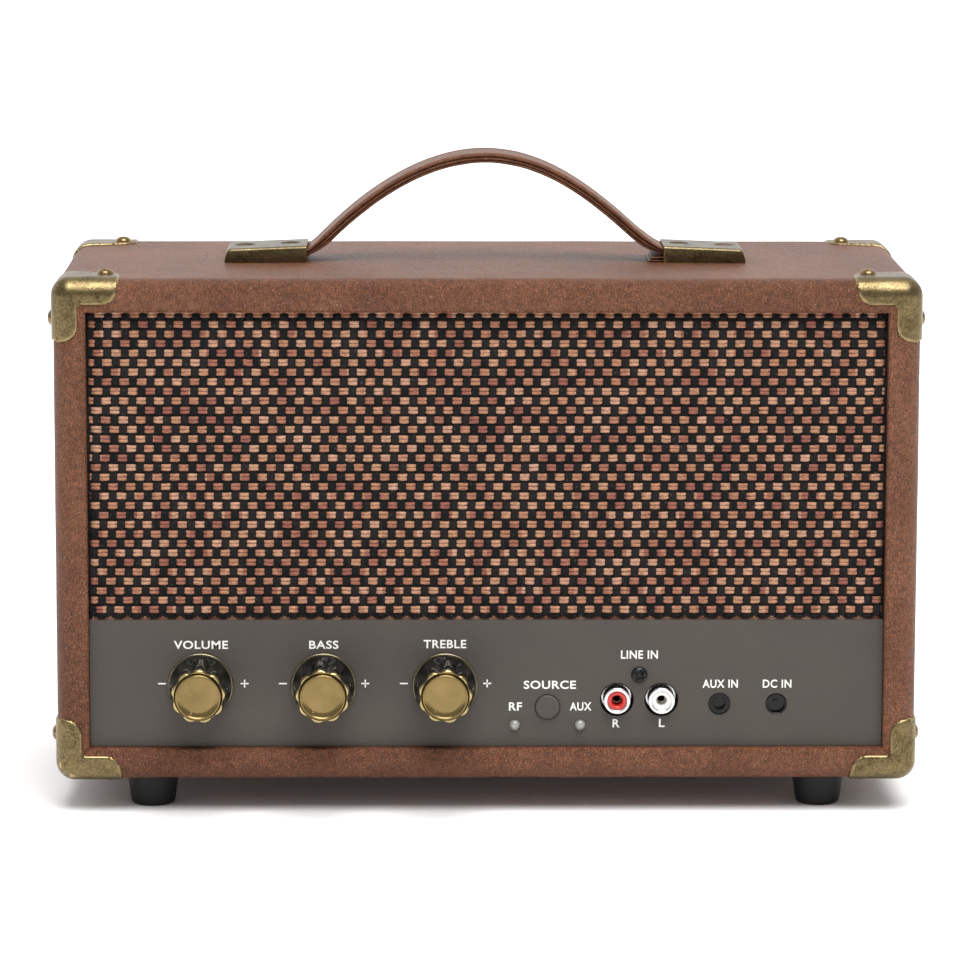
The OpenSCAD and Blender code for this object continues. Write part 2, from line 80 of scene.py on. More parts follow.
WRAP_LOW, WRAP_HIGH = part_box("leather_wrap")
FRONT = WRAP_LOW.y
BACK = WRAP_HIGH.y
BASE = WRAP_LOW.z
TOP = WRAP_HIGH.z
HALF_W = WRAP_HIGH.x
MID_Y = (FRONT + BACK) / 2
MID_Z = (BASE + TOP) / 2
DEPTH = BACK - FRONT
PANEL_LOW, PANEL_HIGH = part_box("control_panel")
PANEL_Y = PANEL_LOW.y
CLOTH_LOW, CLOTH_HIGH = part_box("grille_cloth")
OPEN_X = CLOTH_HIGH.x + 0.1 * MM
OPEN_LOW = PANEL_LOW.z - 0.1 * MM
OPEN_HIGH = CLOTH_HIGH.z + 0.1 * MM
FACE = HALF_W - OPEN_X
REAR_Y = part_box("rear_panel")[1].y
EDGE_R = 5.5 * MM
BRACKET_T = 0.5 * MM

# ---- Small helpers ----


def centre(node):
    low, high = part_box(node)
    return (low + high) / 2


def wobble(point, scale, seed=0.0):
    """Smooth noise from -1 to 1 at a place, over features about 1/scale metres wide."""
    return noise.noise(Vector(point) * scale + Vector((seed, seed * 1.7, -seed)))


def smoothstep(low, high, value):
    t = min(max((value - low) / (high - low), 0.0), 1.0)
    return t * t * (3 - 2 * t)


def build(name, shape, material, body="case", cad=(), smooth=True, sharp=None, merge=True):
    """A mesh piece that rides on a body, takes a material and stands for CAD nodes."""
    mesh = bpy.data.meshes.new(name)
    mesh.from_pydata([tuple(v) for v in shape.verts], [], shape.faces)
    mesh.update()
    tidy = bmesh.new()
    tidy.from_mesh(mesh)
    if merge:
        bmesh.ops.remove_doubles(tidy, verts=tidy.verts, dist=1e-6)
    bmesh.ops.recalc_face_normals(tidy, faces=tidy.faces)
    tidy.to_mesh(mesh)
    tidy.free()
    mesh.polygons.foreach_set("use_smooth", [smooth] * len(mesh.polygons))
    piece = bpy.data.objects.new(name, mesh)
    bpy.context.scene.collection.objects.link(piece)
    if sharp:
        mesh.set_sharp_from_angle(angle=math.radians(sharp))
    mesh.materials.append(material)
    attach(piece, body)
    if cad:
        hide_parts(*cad)
    return piece


class Shape:
    """Collects grids, tubes and lathes into one list of vertices and faces."""

    def __init__(self):
        self.verts = []
        self.faces = []

    def grid(self, rows, close_columns=False):
        """A sheet of quads through rows of points."""
        start = len(self.verts)
        count = len(rows[0])
        for row in rows:
            self.verts.extend(row)
        for r in range(len(rows) - 1):
            for c in range(count if close_columns else count - 1):
                a = start + r * count + c
                b = start + r * count + (c + 1) % count
                self.faces.append((a, b, b + count, a + count))

    def cap(self, row, flip=False):
        """A fan over a closed ring of points."""
        start = len(self.verts)
        middle = sum((Vector(p) for p in row), Vector()) / len(row)
        self.verts.extend(row)
        self.verts.append(middle)
        for i in range(len(row)):
            pair = (start + i, start + (i + 1) % len(row))
            self.faces.append((*(pair if flip else pair[::-1]), start + len(row)))

    def tube(self, rings):
        """Rings of points joined along their length, with both ends capped."""
        self.grid(rings, close_columns=True)
        self.cap(rings[0])
        self.cap(rings[-1], flip=True)

    def lathe(self, place, profile, sides=64, axis="-y", radius=None):
        """A profile of (radius, height) in millimetres, turned about an axis, bent by radius(angle, r, h)."""
        rings = []
        for r, h in profile:
            ring = []
            for i in range(sides):
                angle = 2 * math.pi * i / sides
                reach = radius(angle, r * MM, h * MM) if radius else r * MM
                ring.append(place + turn(axis, reach * math.cos(angle), reach * math.sin(angle), h * MM))
            rings.append(ring)
        self.tube(rings)


def lathe_piece(name, place, profile, material, slot, cad=(), sides=64, body="case", sharp=45, radius=None):
    shape = Shape()
    shape.lathe(place, profile, sides, radius=radius)
    return build(name, shape, material, body=body, cad=cad, sharp=sharp)


def turn(axis, a, b, h):
    """A point a across, b up and h along an axis."""
    along = -h if axis[0] == "-" else h
    return Vector({"x": (along, a, b), "y": (a, along, b), "z": (a, b, along)}[axis[1]])


# ---- Materials ----


class Look:
    """A node material built step by step around one Principled shader."""

    def __init__(self, name, **settings):
        self.material = bpy.data.materials.new(name)
        self.material.use_nodes = True
        self.nodes = self.material.node_tree.nodes
        self.links = self.material.node_tree.links
        self.shader = self.nodes["Principled BSDF"]
        for socket, value in settings.items():
            self.shader.inputs[socket.replace("_", " ")].default_value = value
        self.place = self.nodes.new("ShaderNodeTexCoord").outputs["Object"]

    def noise(self, scale, detail=4, roughness=0.55, stretch=None):
        place = self.stretched(stretch) if stretch else self.place
        node = self.nodes.new("ShaderNodeTexNoise")
        node.inputs["Scale"].default_value = scale
        node.inputs["Detail"].default_value = detail
        node.inputs["Roughness"].default_value = roughness
        self.links.new(place, node.inputs["Vector"])
        return node.outputs["Fac"]

    def stretched(self, stretch):
        node = self.nodes.new("ShaderNodeMapping")
        node.inputs["Scale"].default_value = stretch
        self.links.new(self.place, node.inputs["Vector"])
        return node.outputs["Vector"]

    def cells(self, scale, feature="DISTANCE_TO_EDGE", stretch=None):
        place = self.stretched(stretch) if stretch else self.place
        node = self.nodes.new("ShaderNodeTexVoronoi")
        node.feature = feature
        node.inputs["Scale"].default_value = scale
        self.links.new(place, node.inputs["Vector"])
        return node.outputs["Distance"]

    def ramp(self, value, *stops):
        """Colours or grey levels along a value: each stop is (position, colour or number)."""
        node = self.nodes.new("ShaderNodeValToRGB")
        elements = node.color_ramp.elements
        while len(elements) < len(stops):
            elements.new(0.5)
        for element, (position, colour) in zip(elements, stops):
            element.position = position
            element.color = (colour,) * 3 + (1,) if isinstance(colour, (int, float)) else (*colour, 1)
        self.links.new(value, node.inputs["Fac"])
        return node.outputs["Color"]

    def mix(self, factor, a, b, blend="MIX"):
        node = self.nodes.new("ShaderNodeMix")
        node.data_type = "RGBA"
        node.blend_type = blend
        for index, source in ((0, factor), (6, a), (7, b)):
            if isinstance(source, bpy.types.NodeSocket):
                self.links.new(source, node.inputs[index])
            elif index:
                node.inputs[index].default_value = (*source, 1)
            else:
                node.inputs[index].default_value = source
        return node.outputs[2]

    def worn(self, low=0.52, high=0.6):
        """0 on flat metal and 1 on its outward edges, where rubbed wear and a painted highlight go."""
        geometry = self.nodes.new("ShaderNodeNewGeometry")
        return self.ramp(geometry.outputs["Pointiness"], (low, 0.0), (high, 1.0))

    def colour(self, source):
        self.links.new(source, self.shader.inputs["Base Color"])
        return self

    def rough(self, source, low, high):
        self.links.new(self.ramp(source, (0.3, low), (0.7, high)), self.shader.inputs["Roughness"])
        return self

    def bump(self, *layers):
        """Height layers as (source, depth in metres), stacked."""
        normal = None
        for source, depth in layers:
            node = self.nodes.new("ShaderNodeBump")
            node.inputs["Strength"].default_value = 1.0
            node.inputs["Distance"].default_value = depth
            self.links.new(source, node.inputs["Height"])
            if normal:
                self.links.new(normal, node.inputs["Normal"])
            normal = node.outputs["Normal"]
        self.links.new(normal, self.shader.inputs["Normal"])
        return self


def leather_look(name, dark, middle, light, grain=1150, depth=0.00013):
    """Pebbled leatherette: fine grain, darker pores and slow changes of tone along the sheet."""
    look = Look(name, Specular_IOR_Level=0.3)
    patches = look.noise(26, detail=3)
    streaks = look.noise(90, detail=4, stretch=(1, 1, 0.3))
    flecks = look.noise(750, detail=4, roughness=0.7)
    pebbles = look.cells(grain)
    base = look.ramp(look.mix(0.5, patches, streaks), (0.36, dark), (0.5, middle), (0.64, light))
    spots = look.ramp(flecks, (0.34, 0.64), (0.5, 0.98), (0.68, 1.38))
    pores = look.ramp(pebbles, (0.0, 0.70), (0.16, 1.0), (0.5, 1.1))
    look.colour(look.mix(1.0, look.mix(1.0, base, spots, "MULTIPLY"), pores, "MULTIPLY"))
    look.rough(flecks, 0.30, 0.48)
    look.bump((look.ramp(pebbles, (0.0, 0.0), (0.3, 1.0)), depth), (flecks, depth * 0.9))
    return look.material


def brass_look(name, shade, dirt, rough=(0.30, 0.52), grain=1500):
    """Antiqued brass: dark fine speckles over larger patches, brighter on outward edges for rubbed wear and a
    painted highlight.
    """
    look = Look(name, Metallic=1.0)
    blotch = look.noise(190, detail=4, roughness=0.6)
    fine = look.noise(grain, detail=3, roughness=0.7)
    field = look.mix(0.6, blotch, fine)
    tone = look.ramp(field, (0.36, dirt), (0.5, shade), (0.64, tuple(min(c * 1.5, 1) for c in shade)))
    # Painted highlight: outward edges get a much brighter brass, for light caught on the rims as well as
    # rubbed wear.
    bright = tuple(min(c * 2.6, 1) for c in shade)
    look.colour(look.mix(look.worn(), tone, bright))
    look.rough(field, rough[1], rough[0])
    look.bump((fine, 0.00006), (blotch, 0.00008))
    return look.material


def plain_look(name, shade, rough, metal=0.0, grain=900, depth=0.00002, variation=0.16, **settings):
    """A moulded, painted or drawn surface: a fine grain, a little mottling and uneven gloss."""
    look = Look(name, Metallic=metal, **settings)
    fine = look.noise(grain, detail=3)
    broad = look.noise(45, detail=3)
    low = tuple(c * (1 - variation) for c in shade)
    high = tuple(min(c * (1 + variation), 1) for c in shade)
    look.colour(look.ramp(look.mix(0.5, fine, broad), (0.35, low), (0.65, high)))
    look.rough(broad, rough * 0.85, min(rough * 1.15, 1))
    look.bump((fine, depth))
    return look.material


def brushed_look(name, shade, rough=0.3, stretch=(1, 1, 0.02), scale=3000):
    look = Look(name, Metallic=1.0)
    lines = look.noise(scale, detail=2, stretch=stretch)
    blotch = look.noise(150, detail=4)
    low = tuple(c * 0.8 for c in shade)
    look.colour(look.ramp(look.mix(0.4, lines, blotch), (0.35, low), (0.62, shade)))
    look.rough(lines, rough * 1.25, rough * 0.8)
    look.bump((lines, 0.00001), (blotch, 0.00003))
    return look.material


def wood_look(name, low, high):
    look = Look(name, Roughness=0.7)
    fibre = look.noise(160, detail=6, stretch=(0.15, 1, 1))
    look.colour(look.ramp(fibre, (0.35, low), (0.65, high)))
    look.bump((fibre, 0.0001))
    return look.material


WEFT_PITCH = 3.0 * MM
WARP_PITCH = 2.73 * MM


def yarn_look(name, stops, rough, fibre_scale, sheen, stretch=(1, 1, 1), depth=0.00022, lint=None):
    """Spun yarn: one tone for each crossing of the weave, with fibres along it and perhaps pale lint."""
    look = Look(name, Roughness=rough, Sheen_Weight=sheen, Sheen_Roughness=0.4, Specular_IOR_Level=0.25)
    cell = look.nodes.new("ShaderNodeTexWhiteNoise")
    cell.noise_dimensions = "3D"
    scaled = look.nodes.new("ShaderNodeVectorMath")
    scaled.operation = "DIVIDE"
    scaled.inputs[1].default_value = (2 * WARP_PITCH, 1, WEFT_PITCH)
    floored = look.nodes.new("ShaderNodeVectorMath")
    floored.operation = "FLOOR"
    look.links.new(look.place, scaled.inputs[0])
    look.links.new(scaled.outputs[0], floored.inputs[0])
    look.links.new(floored.outputs[0], cell.inputs["Vector"])
    tone = look.mix(0.35, cell.outputs["Value"], look.noise(260, detail=3))
    fibres = look.noise(fibre_scale, detail=4, roughness=0.7, stretch=stretch)
    shade = look.mix(1.0, look.ramp(tone, *stops), look.ramp(fibres, (0.32, 0.40), (0.62, 1.1)), "MULTIPLY")
    if lint:
        specks = look.ramp(look.noise(1300, detail=2), (0.66, 0.0), (0.74, 1.0))
        shade = look.mix(specks, shade, (lint,) * 3)
    look.colour(shade)
    look.bump((fibres, depth))
    return look.material


LEATHER = leather_look("leather", (0.152, 0.054, 0.024), (0.187, 0.069, 0.032), (0.226, 0.088, 0.043),
                       1150, 0.00036)
STRAP_LEATHER = leather_look("strap_leather", (0.118, 0.040, 0.017), (0.155, 0.056, 0.024),
                             (0.195, 0.076, 0.037), 1200)
AGED_BRASS = brass_look("aged_brass", (0.165, 0.124, 0.060), (0.070, 0.050, 0.023), (0.22, 0.44))
SCREW_BRASS = brass_look("screw_brass", (0.20, 0.135, 0.06), (0.07, 0.045, 0.02), (0.16, 0.30))
CAP_BRASS = brass_look("cap_brass", (0.115, 0.088, 0.046), (0.05, 0.034, 0.018), (0.22, 0.40))
KNOB_FACE = brushed_look("knob_face", (0.26, 0.185, 0.075), 0.24, (1, 1, 1), 160)
KNOB_BRASS = brushed_look("knob_brass", (0.5, 0.4, 0.19), 0.2)
KNOB_BLACK = plain_look("knob_black", (0.003, 0.003, 0.002), 0.08, grain=40, depth=0.000005)
KNOB_RING = brushed_look("knob_ring", (0.34, 0.29, 0.19), 0.3)
PANEL_PAINT = plain_look("panel_paint", (0.072, 0.062, 0.053), 0.6, grain=1800, depth=0.00005,
                         variation=0.14, Specular_IOR_Level=0.3)
LETTER_PAINT = plain_look("letter_paint", (0.86, 0.85, 0.82), 0.6, variation=0.04)
BLACK_PLASTIC = plain_look("black_plastic", (0.003, 0.003, 0.003), 0.2, Specular_IOR_Level=0.3)
BUTTON_PLASTIC = plain_look("button_plastic", (0.070, 0.062, 0.055), 0.5, grain=1400,
                            Specular_IOR_Level=0.3)
GLOSS_BLACK = plain_look("gloss_black", (0.002, 0.002, 0.002), 0.06, variation=0.1, Specular_IOR_Level=0.3)
SOCKET_BLACK = plain_look("socket_black", (0.004, 0.004, 0.004), 0.7, Specular_IOR_Level=0.1)
BLACK_STEEL = plain_look("black_steel", (0.02, 0.02, 0.02), 0.28, metal=0.6)
PHONO_SILVER = brushed_look("phono_silver", (0.92, 0.91, 0.9), 0.25)
DARK_STEEL = plain_look("dark_steel", (0.03, 0.029, 0.028), 0.35, metal=0.8)
BRIGHT_METAL = brushed_look("bright_metal", (0.78, 0.76, 0.71), 0.22)
RED_PLASTIC = plain_look("red_plastic", (0.55, 0.022, 0.014), 0.25, Coat_Weight=0.4)
WHITE_PLASTIC = plain_look("white_plastic", (0.82, 0.81, 0.77), 0.28, variation=0.05, Coat_Weight=0.4)
FOOT_RUBBER = plain_look("foot_rubber", (0.008, 0.008, 0.008), 0.6, grain=700, depth=0.00006,
                         Specular_IOR_Level=0.3)
LAMP_CLEAR = plain_look("lamp_clear", (0.7, 0.7, 0.68), 0.06, variation=0.03, Transmission_Weight=0.75,
                        IOR=1.49)
LAMP_CORE = plain_look("lamp_core", (0.5, 0.5, 0.46), 0.4, metal=0.6)
REAR_PAINT = leather_look("rear_paint", (0.012, 0.011, 0.010), (0.020, 0.018, 0.017),
                          (0.03, 0.027, 0.025), 1200)
RAW_WOOD = wood_look("raw_wood", (0.42, 0.28, 0.16), (0.62, 0.46, 0.29))
CONE_PAPER = plain_look("cone_paper", (0.02, 0.02, 0.021), 0.8, grain=1100, depth=0.0001)
BOARD_GREEN = plain_look("board_green", (0.03, 0.13, 0.06), 0.4)
CELL_WRAP = plain_look("cell_wrap", (0.03, 0.12, 0.32), 0.3)
# Painted shade: the ground sheet behind the yarns is near black, for the shade in the gaps of the weave.
GROUND_CLOTH_PAINTED_SHADE = plain_look("ground_cloth_painted_shade", (0.006, 0.005, 0.005), 0.95, grain=2500, depth=0.0002)
WEFT_TONES = ((0.2, (0.30, 0.105, 0.075)), (0.42, (0.43, 0.19, 0.11)), (0.62, (0.50, 0.26, 0.15)),
              (0.82, (0.56, 0.31, 0.21)))
WARP_TONES = ((0.3, (0.006, 0.006, 0.006)), (0.7, (0.018, 0.014, 0.014)))
WEFT_YARN = yarn_look("weft_yarn", WEFT_TONES, 0.75, 1500, 0.1, (0.35, 1, 1.6))
WARP_YARN = yarn_look("warp_yarn", WARP_TONES, 0.95, 2600, 0.03, depth=0.0005, lint=0.07)

# ---- Leather covering ----

SEAM_X = 3.7 * MM


def loop_points(offset):
    """Points round the case at a distance outside the front opening, as (x, z, corner weight)."""
    radius = max(0.12 * MM, EDGE_R - (FACE - offset))
    half_x = OPEN_X + offset
    low = OPEN_LOW - offset
    high = OPEN_HIGH + offset
    points = []

    def side(start, end, count, extra=()):
        length = (Vector(end) - Vector(start)).length
        near = [0.5 * MM / length, 1.2 * MM / length]
        shares = [*near, *(1 - n for n in near), *((i + 0.5) / count for i in range(count)), *extra]
        for share in sorted(shares):
            points.append((*Vector(start).lerp(Vector(end), share), 0.0))

    def corner(x, z, start):
        for i in range(7):
            angle = start + math.pi / 2 * i / 6
            points.append((x + radius * math.cos(angle), z + radius * math.sin(angle), 1.0))

    run = half_x - radius
    seam = [(run + SEAM_X + d * MM) / (2 * run) for d in (-0.9, -0.35, -0.12, 0.0, 0.12, 0.35, 0.9)]
    side((-run, low), (run, low), 84, seam)
    corner(run, low + radius, -math.pi / 2)
    side((half_x, low + radius), (half_x, high - radius), 48)
    corner(run, high - radius, 0)
    side((run, high), (-run, high), 84)
    corner(-run, high - radius, math.pi / 2)
    side((-half_x, high - radius), (-half_x, low + radius), 48)
    corner(-run, low + radius, math.pi)
    return points


def case_profile():
    """The covering's section from inside the front recess, round the outside, to inside the rear recess."""
    lip = 0.9 * MM
    front = [(0.0, 4.9 * MM), (0.0, 3.0 * MM), (0.0, 1.9 * MM)]
    front += [(lip * (1 - math.cos(a)), lip * (1 - math.sin(a))) for a in (0, 0.4, 0.8, 1.2, math.pi / 2)]
    flat = [(lip + (FACE - EDGE_R - lip) * i / 4, 0.0) for i in (1, 2, 3)]
    turn_over = [(FACE - EDGE_R + EDGE_R * math.sin(a), EDGE_R * (1 - math.cos(a)))
                 for a in (math.pi / 2 * i / 10 for i in range(11))]
    half = front + flat + turn_over
    run = DEPTH - 2 * EDGE_R
    count = int(run / (3.2 * MM))
    side = [(FACE, EDGE_R + run * i / count) for i in range(1, count)]
    outside = [p for p in half if p[1] < 1.5 * MM or p[0] > 0]
    back = [(offset, DEPTH - y) for offset, y in reversed(outside)]
    return half + side + back + [(0.0, REAR_Y - FRONT - 0.3 * MM)]


def make_leather():
    rows = []
    for offset, y in case_profile():
        row = []
        for x, z, corner in loop_points(offset):
            depth = 0.0
            on_seam = abs(x - SEAM_X)
            if z < OPEN_LOW + 1 * MM and on_seam < 0.7 * MM:
                depth = 0.22 * MM * (1 - on_seam / (0.7 * MM))
            if corner and 0.6 * MM < offset < 5.0 * MM:
                depth = 0.25 * MM
            row.append((x, y, z, depth))
        rows.append(row)
    shape = Shape()
    shape.grid([[Vector((x, FRONT + y, z)) for x, y, z, _ in row] for row in rows], close_columns=True)
    piece = build("leather_covering", shape, LEATHER, cad=["leather_wrap"],
                  merge=False)
    return piece, [d for row in rows for *_, d in row]


def soften_leather(piece, depths):
    """Presses the seams in and gives the glued sheet its slight unevenness."""
    normals = [v.normal.copy() for v in piece.data.vertices]
    for i, vertex in enumerate(piece.data.vertices):
        inside = vertex.co.y > FRONT + 2 * MM and abs(vertex.co.x) < OPEN_X + 0.2 * MM
        wave = 0.0 if inside and OPEN_LOW < vertex.co.z < OPEN_HIGH else wobble(vertex.co, 40) * 0.10 * MM
        vertex.co += normals[i] * (wave - 0.05 * MM - depths[i])


covering, seam_depths = make_leather()
soften_leather(covering, seam_depths)

# ---- Grille cloth ----

CLOTH_Y = CLOTH_LOW.y + 0.32 * MM
GROUND_Y = CLOTH_LOW.y + 0.9 * MM
LEAN = math.tan(math.radians(1.8))
WEAVE_HEIGHT = 0.40 * MM
WEAVE_PHASE = 0.11
ROLL_R = 2.4 * MM
WEAVE_LEFT = -OPEN_X + 0.25 * MM
WEAVE_RIGHT = OPEN_X - 0.25 * MM
WEAVE_LOW = PANEL_HIGH.z + 0.3 * MM
WEAVE_HIGH = OPEN_HIGH - 0.25 * MM
YARN_SIDES = 8
PLY_SPREAD = 0.53 * MM
PLY_HALF_W = 0.53 * MM
PLY_HALF_T = 0.43 * MM
WARP_HALF_W = 1.22 * MM
WARP_HALF_T = 0.42 * MM
ROWS = [OPEN_HIGH - 0.85 * MM - WEFT_PITCH * k for k in range(33)]


def roll_back(x, z):
    """How far the cloth turns back over the board's rounded edge."""
    gap = min(x - WEAVE_LEFT, WEAVE_RIGHT - x, z - WEAVE_LOW, WEAVE_HIGH - z)
    bend = min(max(1 - gap / ROLL_R, 0), 1)
    return ROLL_R * (1 - math.sqrt(1 - bend * bend)) * 0.8


def weave_wave(phase):
    """A flattened wave from -1 to 1: the yarn lies flat over a crossing and dips steeply between them."""
    c = math.cos(math.pi * phase)
    return math.copysign(abs(c) ** 0.6, c)


def crossings(low, high):
    """Four sampling places round every crossing, clipped to a range and with both its ends."""
    whole = range(math.floor(low) - 1, math.ceil(high) + 1)
    inside = [n + part for n in whole for part in (-0.3, 0.0, 0.3, 0.5)]
    return [low, *(value for value in inside if low + 0.05 < value < high - 0.05), high]


def yarn_ring(place, across, half_w, half_t):
    """An oval ring round a yarn that runs along x (across = z) or along z (across = x)."""
    ring = []
    for k in range(YARN_SIDES):
        angle = 2 * math.pi * k / YARN_SIDES
        ring.append(place + across * (half_w * math.cos(angle)) + Vector((0, half_t * math.sin(angle), 0)))
    return ring


def make_weft(name, ply):
    """One ply of every horizontal yarn; two plies lie side by side in each row."""
    shape = Shape()
    for k, z0 in enumerate(ROWS):
        z0 = min(max(z0, WEAVE_LOW + 0.1 * MM), WEAVE_HIGH - 0.5 * MM)
        shift = (z0 - MID_Z) * LEAN
        low = (WEAVE_LEFT - shift) / WARP_PITCH - WEAVE_PHASE
        high = (WEAVE_RIGHT - shift) / WARP_PITCH - WEAVE_PHASE
        rings = []
        for column in crossings(low, high):
            x = (column + WEAVE_PHASE) * WARP_PITCH + shift
            wave = weave_wave(column + k + 1)
            z = z0 + ply * PLY_SPREAD + wobble((x, z0, 0), 420, ply) * 0.14 * MM
            full = 1 + 0.08 * wave + 0.16 * wobble((x, z0, 1), 300, ply + 3)
            y = CLOTH_Y - WEAVE_HEIGHT * wave + roll_back(x, z0)
            place = Vector((x, y, z))
            rings.append(yarn_ring(place, Vector((0, 0, 1)), PLY_HALF_W * full, PLY_HALF_T * full))
        shape.tube(rings)
    return build(name, shape, WEFT_YARN)


def make_warp():
    """Every upright yarn: broad and soft, so that it fills the ground between the coloured rows."""
    first = math.floor((WEAVE_LEFT - (WEAVE_HIGH - MID_Z) * LEAN) / WARP_PITCH)
    last = math.ceil((WEAVE_RIGHT - (WEAVE_LOW - MID_Z) * LEAN) / WARP_PITCH)
    top_row = (ROWS[0] - WEAVE_HIGH) / WEFT_PITCH
    low_row = (ROWS[0] - WEAVE_LOW) / WEFT_PITCH
    shape = Shape()
    for column in range(first, last + 1):
        rings = []
        for row in crossings(top_row, low_row):
            z = ROWS[0] - row * WEFT_PITCH
            x = (column + WEAVE_PHASE) * WARP_PITCH + (z - MID_Z) * LEAN
            x += wobble((column, z * 300, 2), 1.0) * 0.12 * MM
            x = min(max(x, WEAVE_LEFT + 0.3 * MM), WEAVE_RIGHT - 0.3 * MM)
            wave = -weave_wave(column + row + 1)
            full = 1 + 0.05 * wave + 0.10 * wobble((column, z * 400, 5), 1.0)
            y = CLOTH_Y - WEAVE_HEIGHT * wave + roll_back(x, z)
            place = Vector((x, y, z))
            rings.append(yarn_ring(place, Vector((1, 0, 0)), WARP_HALF_W * full, WARP_HALF_T * full))
        shape.tube(rings)
    return build("grille_warp_yarns", shape, WARP_YARN)


def make_ground_cloth():
    """The dark sheet behind the yarns, turned back over the board's edges; its near-black colour is painted
    shade in the gaps of the weave.
    """
    def line(low, high, count):
        flat = [low + (high - low) * i / count for i in range(count + 1)]
        start = [(low, ROLL_R), (low, ROLL_R / 2)]
        end = [(high, ROLL_R / 2), (high, ROLL_R)]
        return start + [(v, 0.0) for v in flat] + end

    inset = 0.5 * MM
    rows = []
    for z, back_z in line(CLOTH_LOW.z + inset, CLOTH_HIGH.z - inset, 20):
        rows.append([Vector((x, GROUND_Y + max(back_x, back_z), z))
                     for x, back_x in line(CLOTH_LOW.x + inset, CLOTH_HIGH.x - inset, 40)])
    shape = Shape()
    shape.grid(rows)
    piece = build("grille_ground_cloth", shape, GROUND_CLOTH_PAINTED_SHADE,
                  cad=["grille_cloth"])
    width = CLOTH_HIGH.x - CLOTH_LOW.x - 2 * inset + 2 * ROLL_R
    height = CLOTH_HIGH.z - CLOTH_LOW.z - 2 * inset + 2 * ROLL_R
    return piece, (width, height)


weft = [make_weft("grille_weft_upper_ply", 1), make_weft("grille_weft_lower_ply", -1)]
ground, ground_size = make_ground_cloth()
make_warp()

# ---- Corner brackets ----

ACROSS = 20.6 * MM
DOWN = 19.4 * MM
LEG = 8 * MM
PLATE_DEEP = 20.5 * MM
PLATE_TIP = 14.5 * MM
CELL = 0.5 * MM
RIM = 0.45 * MM
SCREW_ACROSS = 16 * MM
SCREW_DOWN = 13.2 * MM
SCREW_BACK = 12 * MM


def soft_max(a, b, blend):
    h = max(blend - abs(a - b), 0) / blend
    return max(a, b) + h * h * blend / 4


def front_outline(a, b):
    """Signed distance to the L on the front, whose arms end at a slight slant: negative inside."""
    def arm(u, v, reach):
        return soft_max(u - reach + 0.13 * v, v - LEG, 5 * MM)
    return -soft_max(-arm(a, b, ACROSS), -arm(b, a, DOWN + 0.5 * MM), 1.2 * MM)


def plate_outline(reach):
    """Signed distance to the plate over the top or the side: deep at the corner, shallower at the tip."""
    slope = (PLATE_DEEP - PLATE_TIP) / (reach - 4 * MM)

    def outline(a, c):
        slanted = (c - PLATE_DEEP + slope * (a - 4 * MM)) / math.hypot(1, slope)
        return soft_max(soft_max(a - reach, slanted, 4 * MM), c - PLATE_DEEP, 3 * MM)
    return outline


def snapped_patch(outline, reach_u, reach_v):
    """Points as (u, v, distance inside) and the quads within an outline, its edge points moved onto it."""
    count_u = int(reach_u / CELL) + 2
    count_v = int(reach_v / CELL) + 2
    points, keep = [], []
    for i in range(count_u + 1):
        for j in range(count_v + 1):
            u, v = i * CELL, j * CELL
            d = outline(u, v)
            if -0.5 * CELL < d < 0.62 * CELL:
                for _ in range(3):
                    e = 0.05 * MM
                    gu = (outline(u + e, v) - outline(u - e, v)) / (2 * e)
                    gv = (outline(u, v + e) - outline(u, v - e)) / (2 * e)
                    if i == 0:
                        gu = 0
                    if j == 0:
                        gv = 0
                    size = max(gu * gu + gv * gv, 1e-6)
                    d = outline(u, v)
                    u -= gu * d / size
                    v -= gv * d / size
                d = 0.0
            points.append((u, v, -d))
            keep.append(d <= 1e-9)
    quads = []
    for i in range(count_u):
        for j in range(count_v):
            quad = [i * (count_v + 1) + j, (i + 1) * (count_v + 1) + j, (i + 1) * (count_v + 1) + j + 1,
                    i * (count_v + 1) + j + 1]
            inside = [k for k in quad if keep[k]]
            if len(inside) >= 3:
                quads.append(inside)
    return points, quads


PATCHES = [
    (snapped_patch(front_outline, ACROSS, ACROSS), lambda u, v: (u, 0.0, v)),
    (snapped_patch(plate_outline(ACROSS), ACROSS, PLATE_DEEP), lambda u, v: (u, v, 0.0)),
    (snapped_patch(plate_outline(DOWN), DOWN, PLATE_DEEP), lambda u, v: (0.0, v, u)),
]


def on_case(inward, height):
    """A place given by its distances inward from the side, front and top, moved onto the rounded case."""
    core = [max(d, EDGE_R) for d in inward]
    out = Vector([min(d - EDGE_R, 0) for d in inward]).normalized()
    return Vector(core) + out * (EDGE_R + height)


def make_bracket(node, side, front, top):
    shape = Shape()
    for (points, quads), spread in PATCHES:
        used = sorted({k for quad in quads for k in quad})
        for layer in (0, 1):
            index = {}
            for k in used:
                u, v, inside = points[k]
                rise = 0.0
                if layer:
                    rim = 1 - min(inside / RIM, 1)
                    rise = BRACKET_T * math.sqrt(max(1 - rim * rim, 0)) + 0.05 * MM
                    rise += wobble((u * side, v * top, front), 160, 7) * 0.05 * MM * min(inside / RIM, 1)
                x, y, z = on_case(spread(u, v), rise)
                index[k] = len(shape.verts)
                shape.verts.append(Vector((side * (HALF_W - x), FRONT + y if front > 0 else BACK - y,
                                           TOP - z if top > 0 else BASE + z)))
            shape.faces.extend([index[k] for k in quad] for quad in quads)
            if layer:
                rim_edges = {}
                for quad in quads:
                    for a, b in zip(quad, quad[1:] + quad[:1]):
                        rim_edges[frozenset((a, b))] = rim_edges.get(frozenset((a, b)), 0) + 1
                for edge, uses in rim_edges.items():
                    a, b = edge
                    if uses == 1 and points[a][2] == 0.0 and points[b][2] == 0.0:
                        shape.faces.append([index[a], index[b], lower[b], lower[a]])
            lower = index
    build(node.replace("bracket", "bracket_stamped"), shape, AGED_BRASS,
          cad=[node], sharp=50)


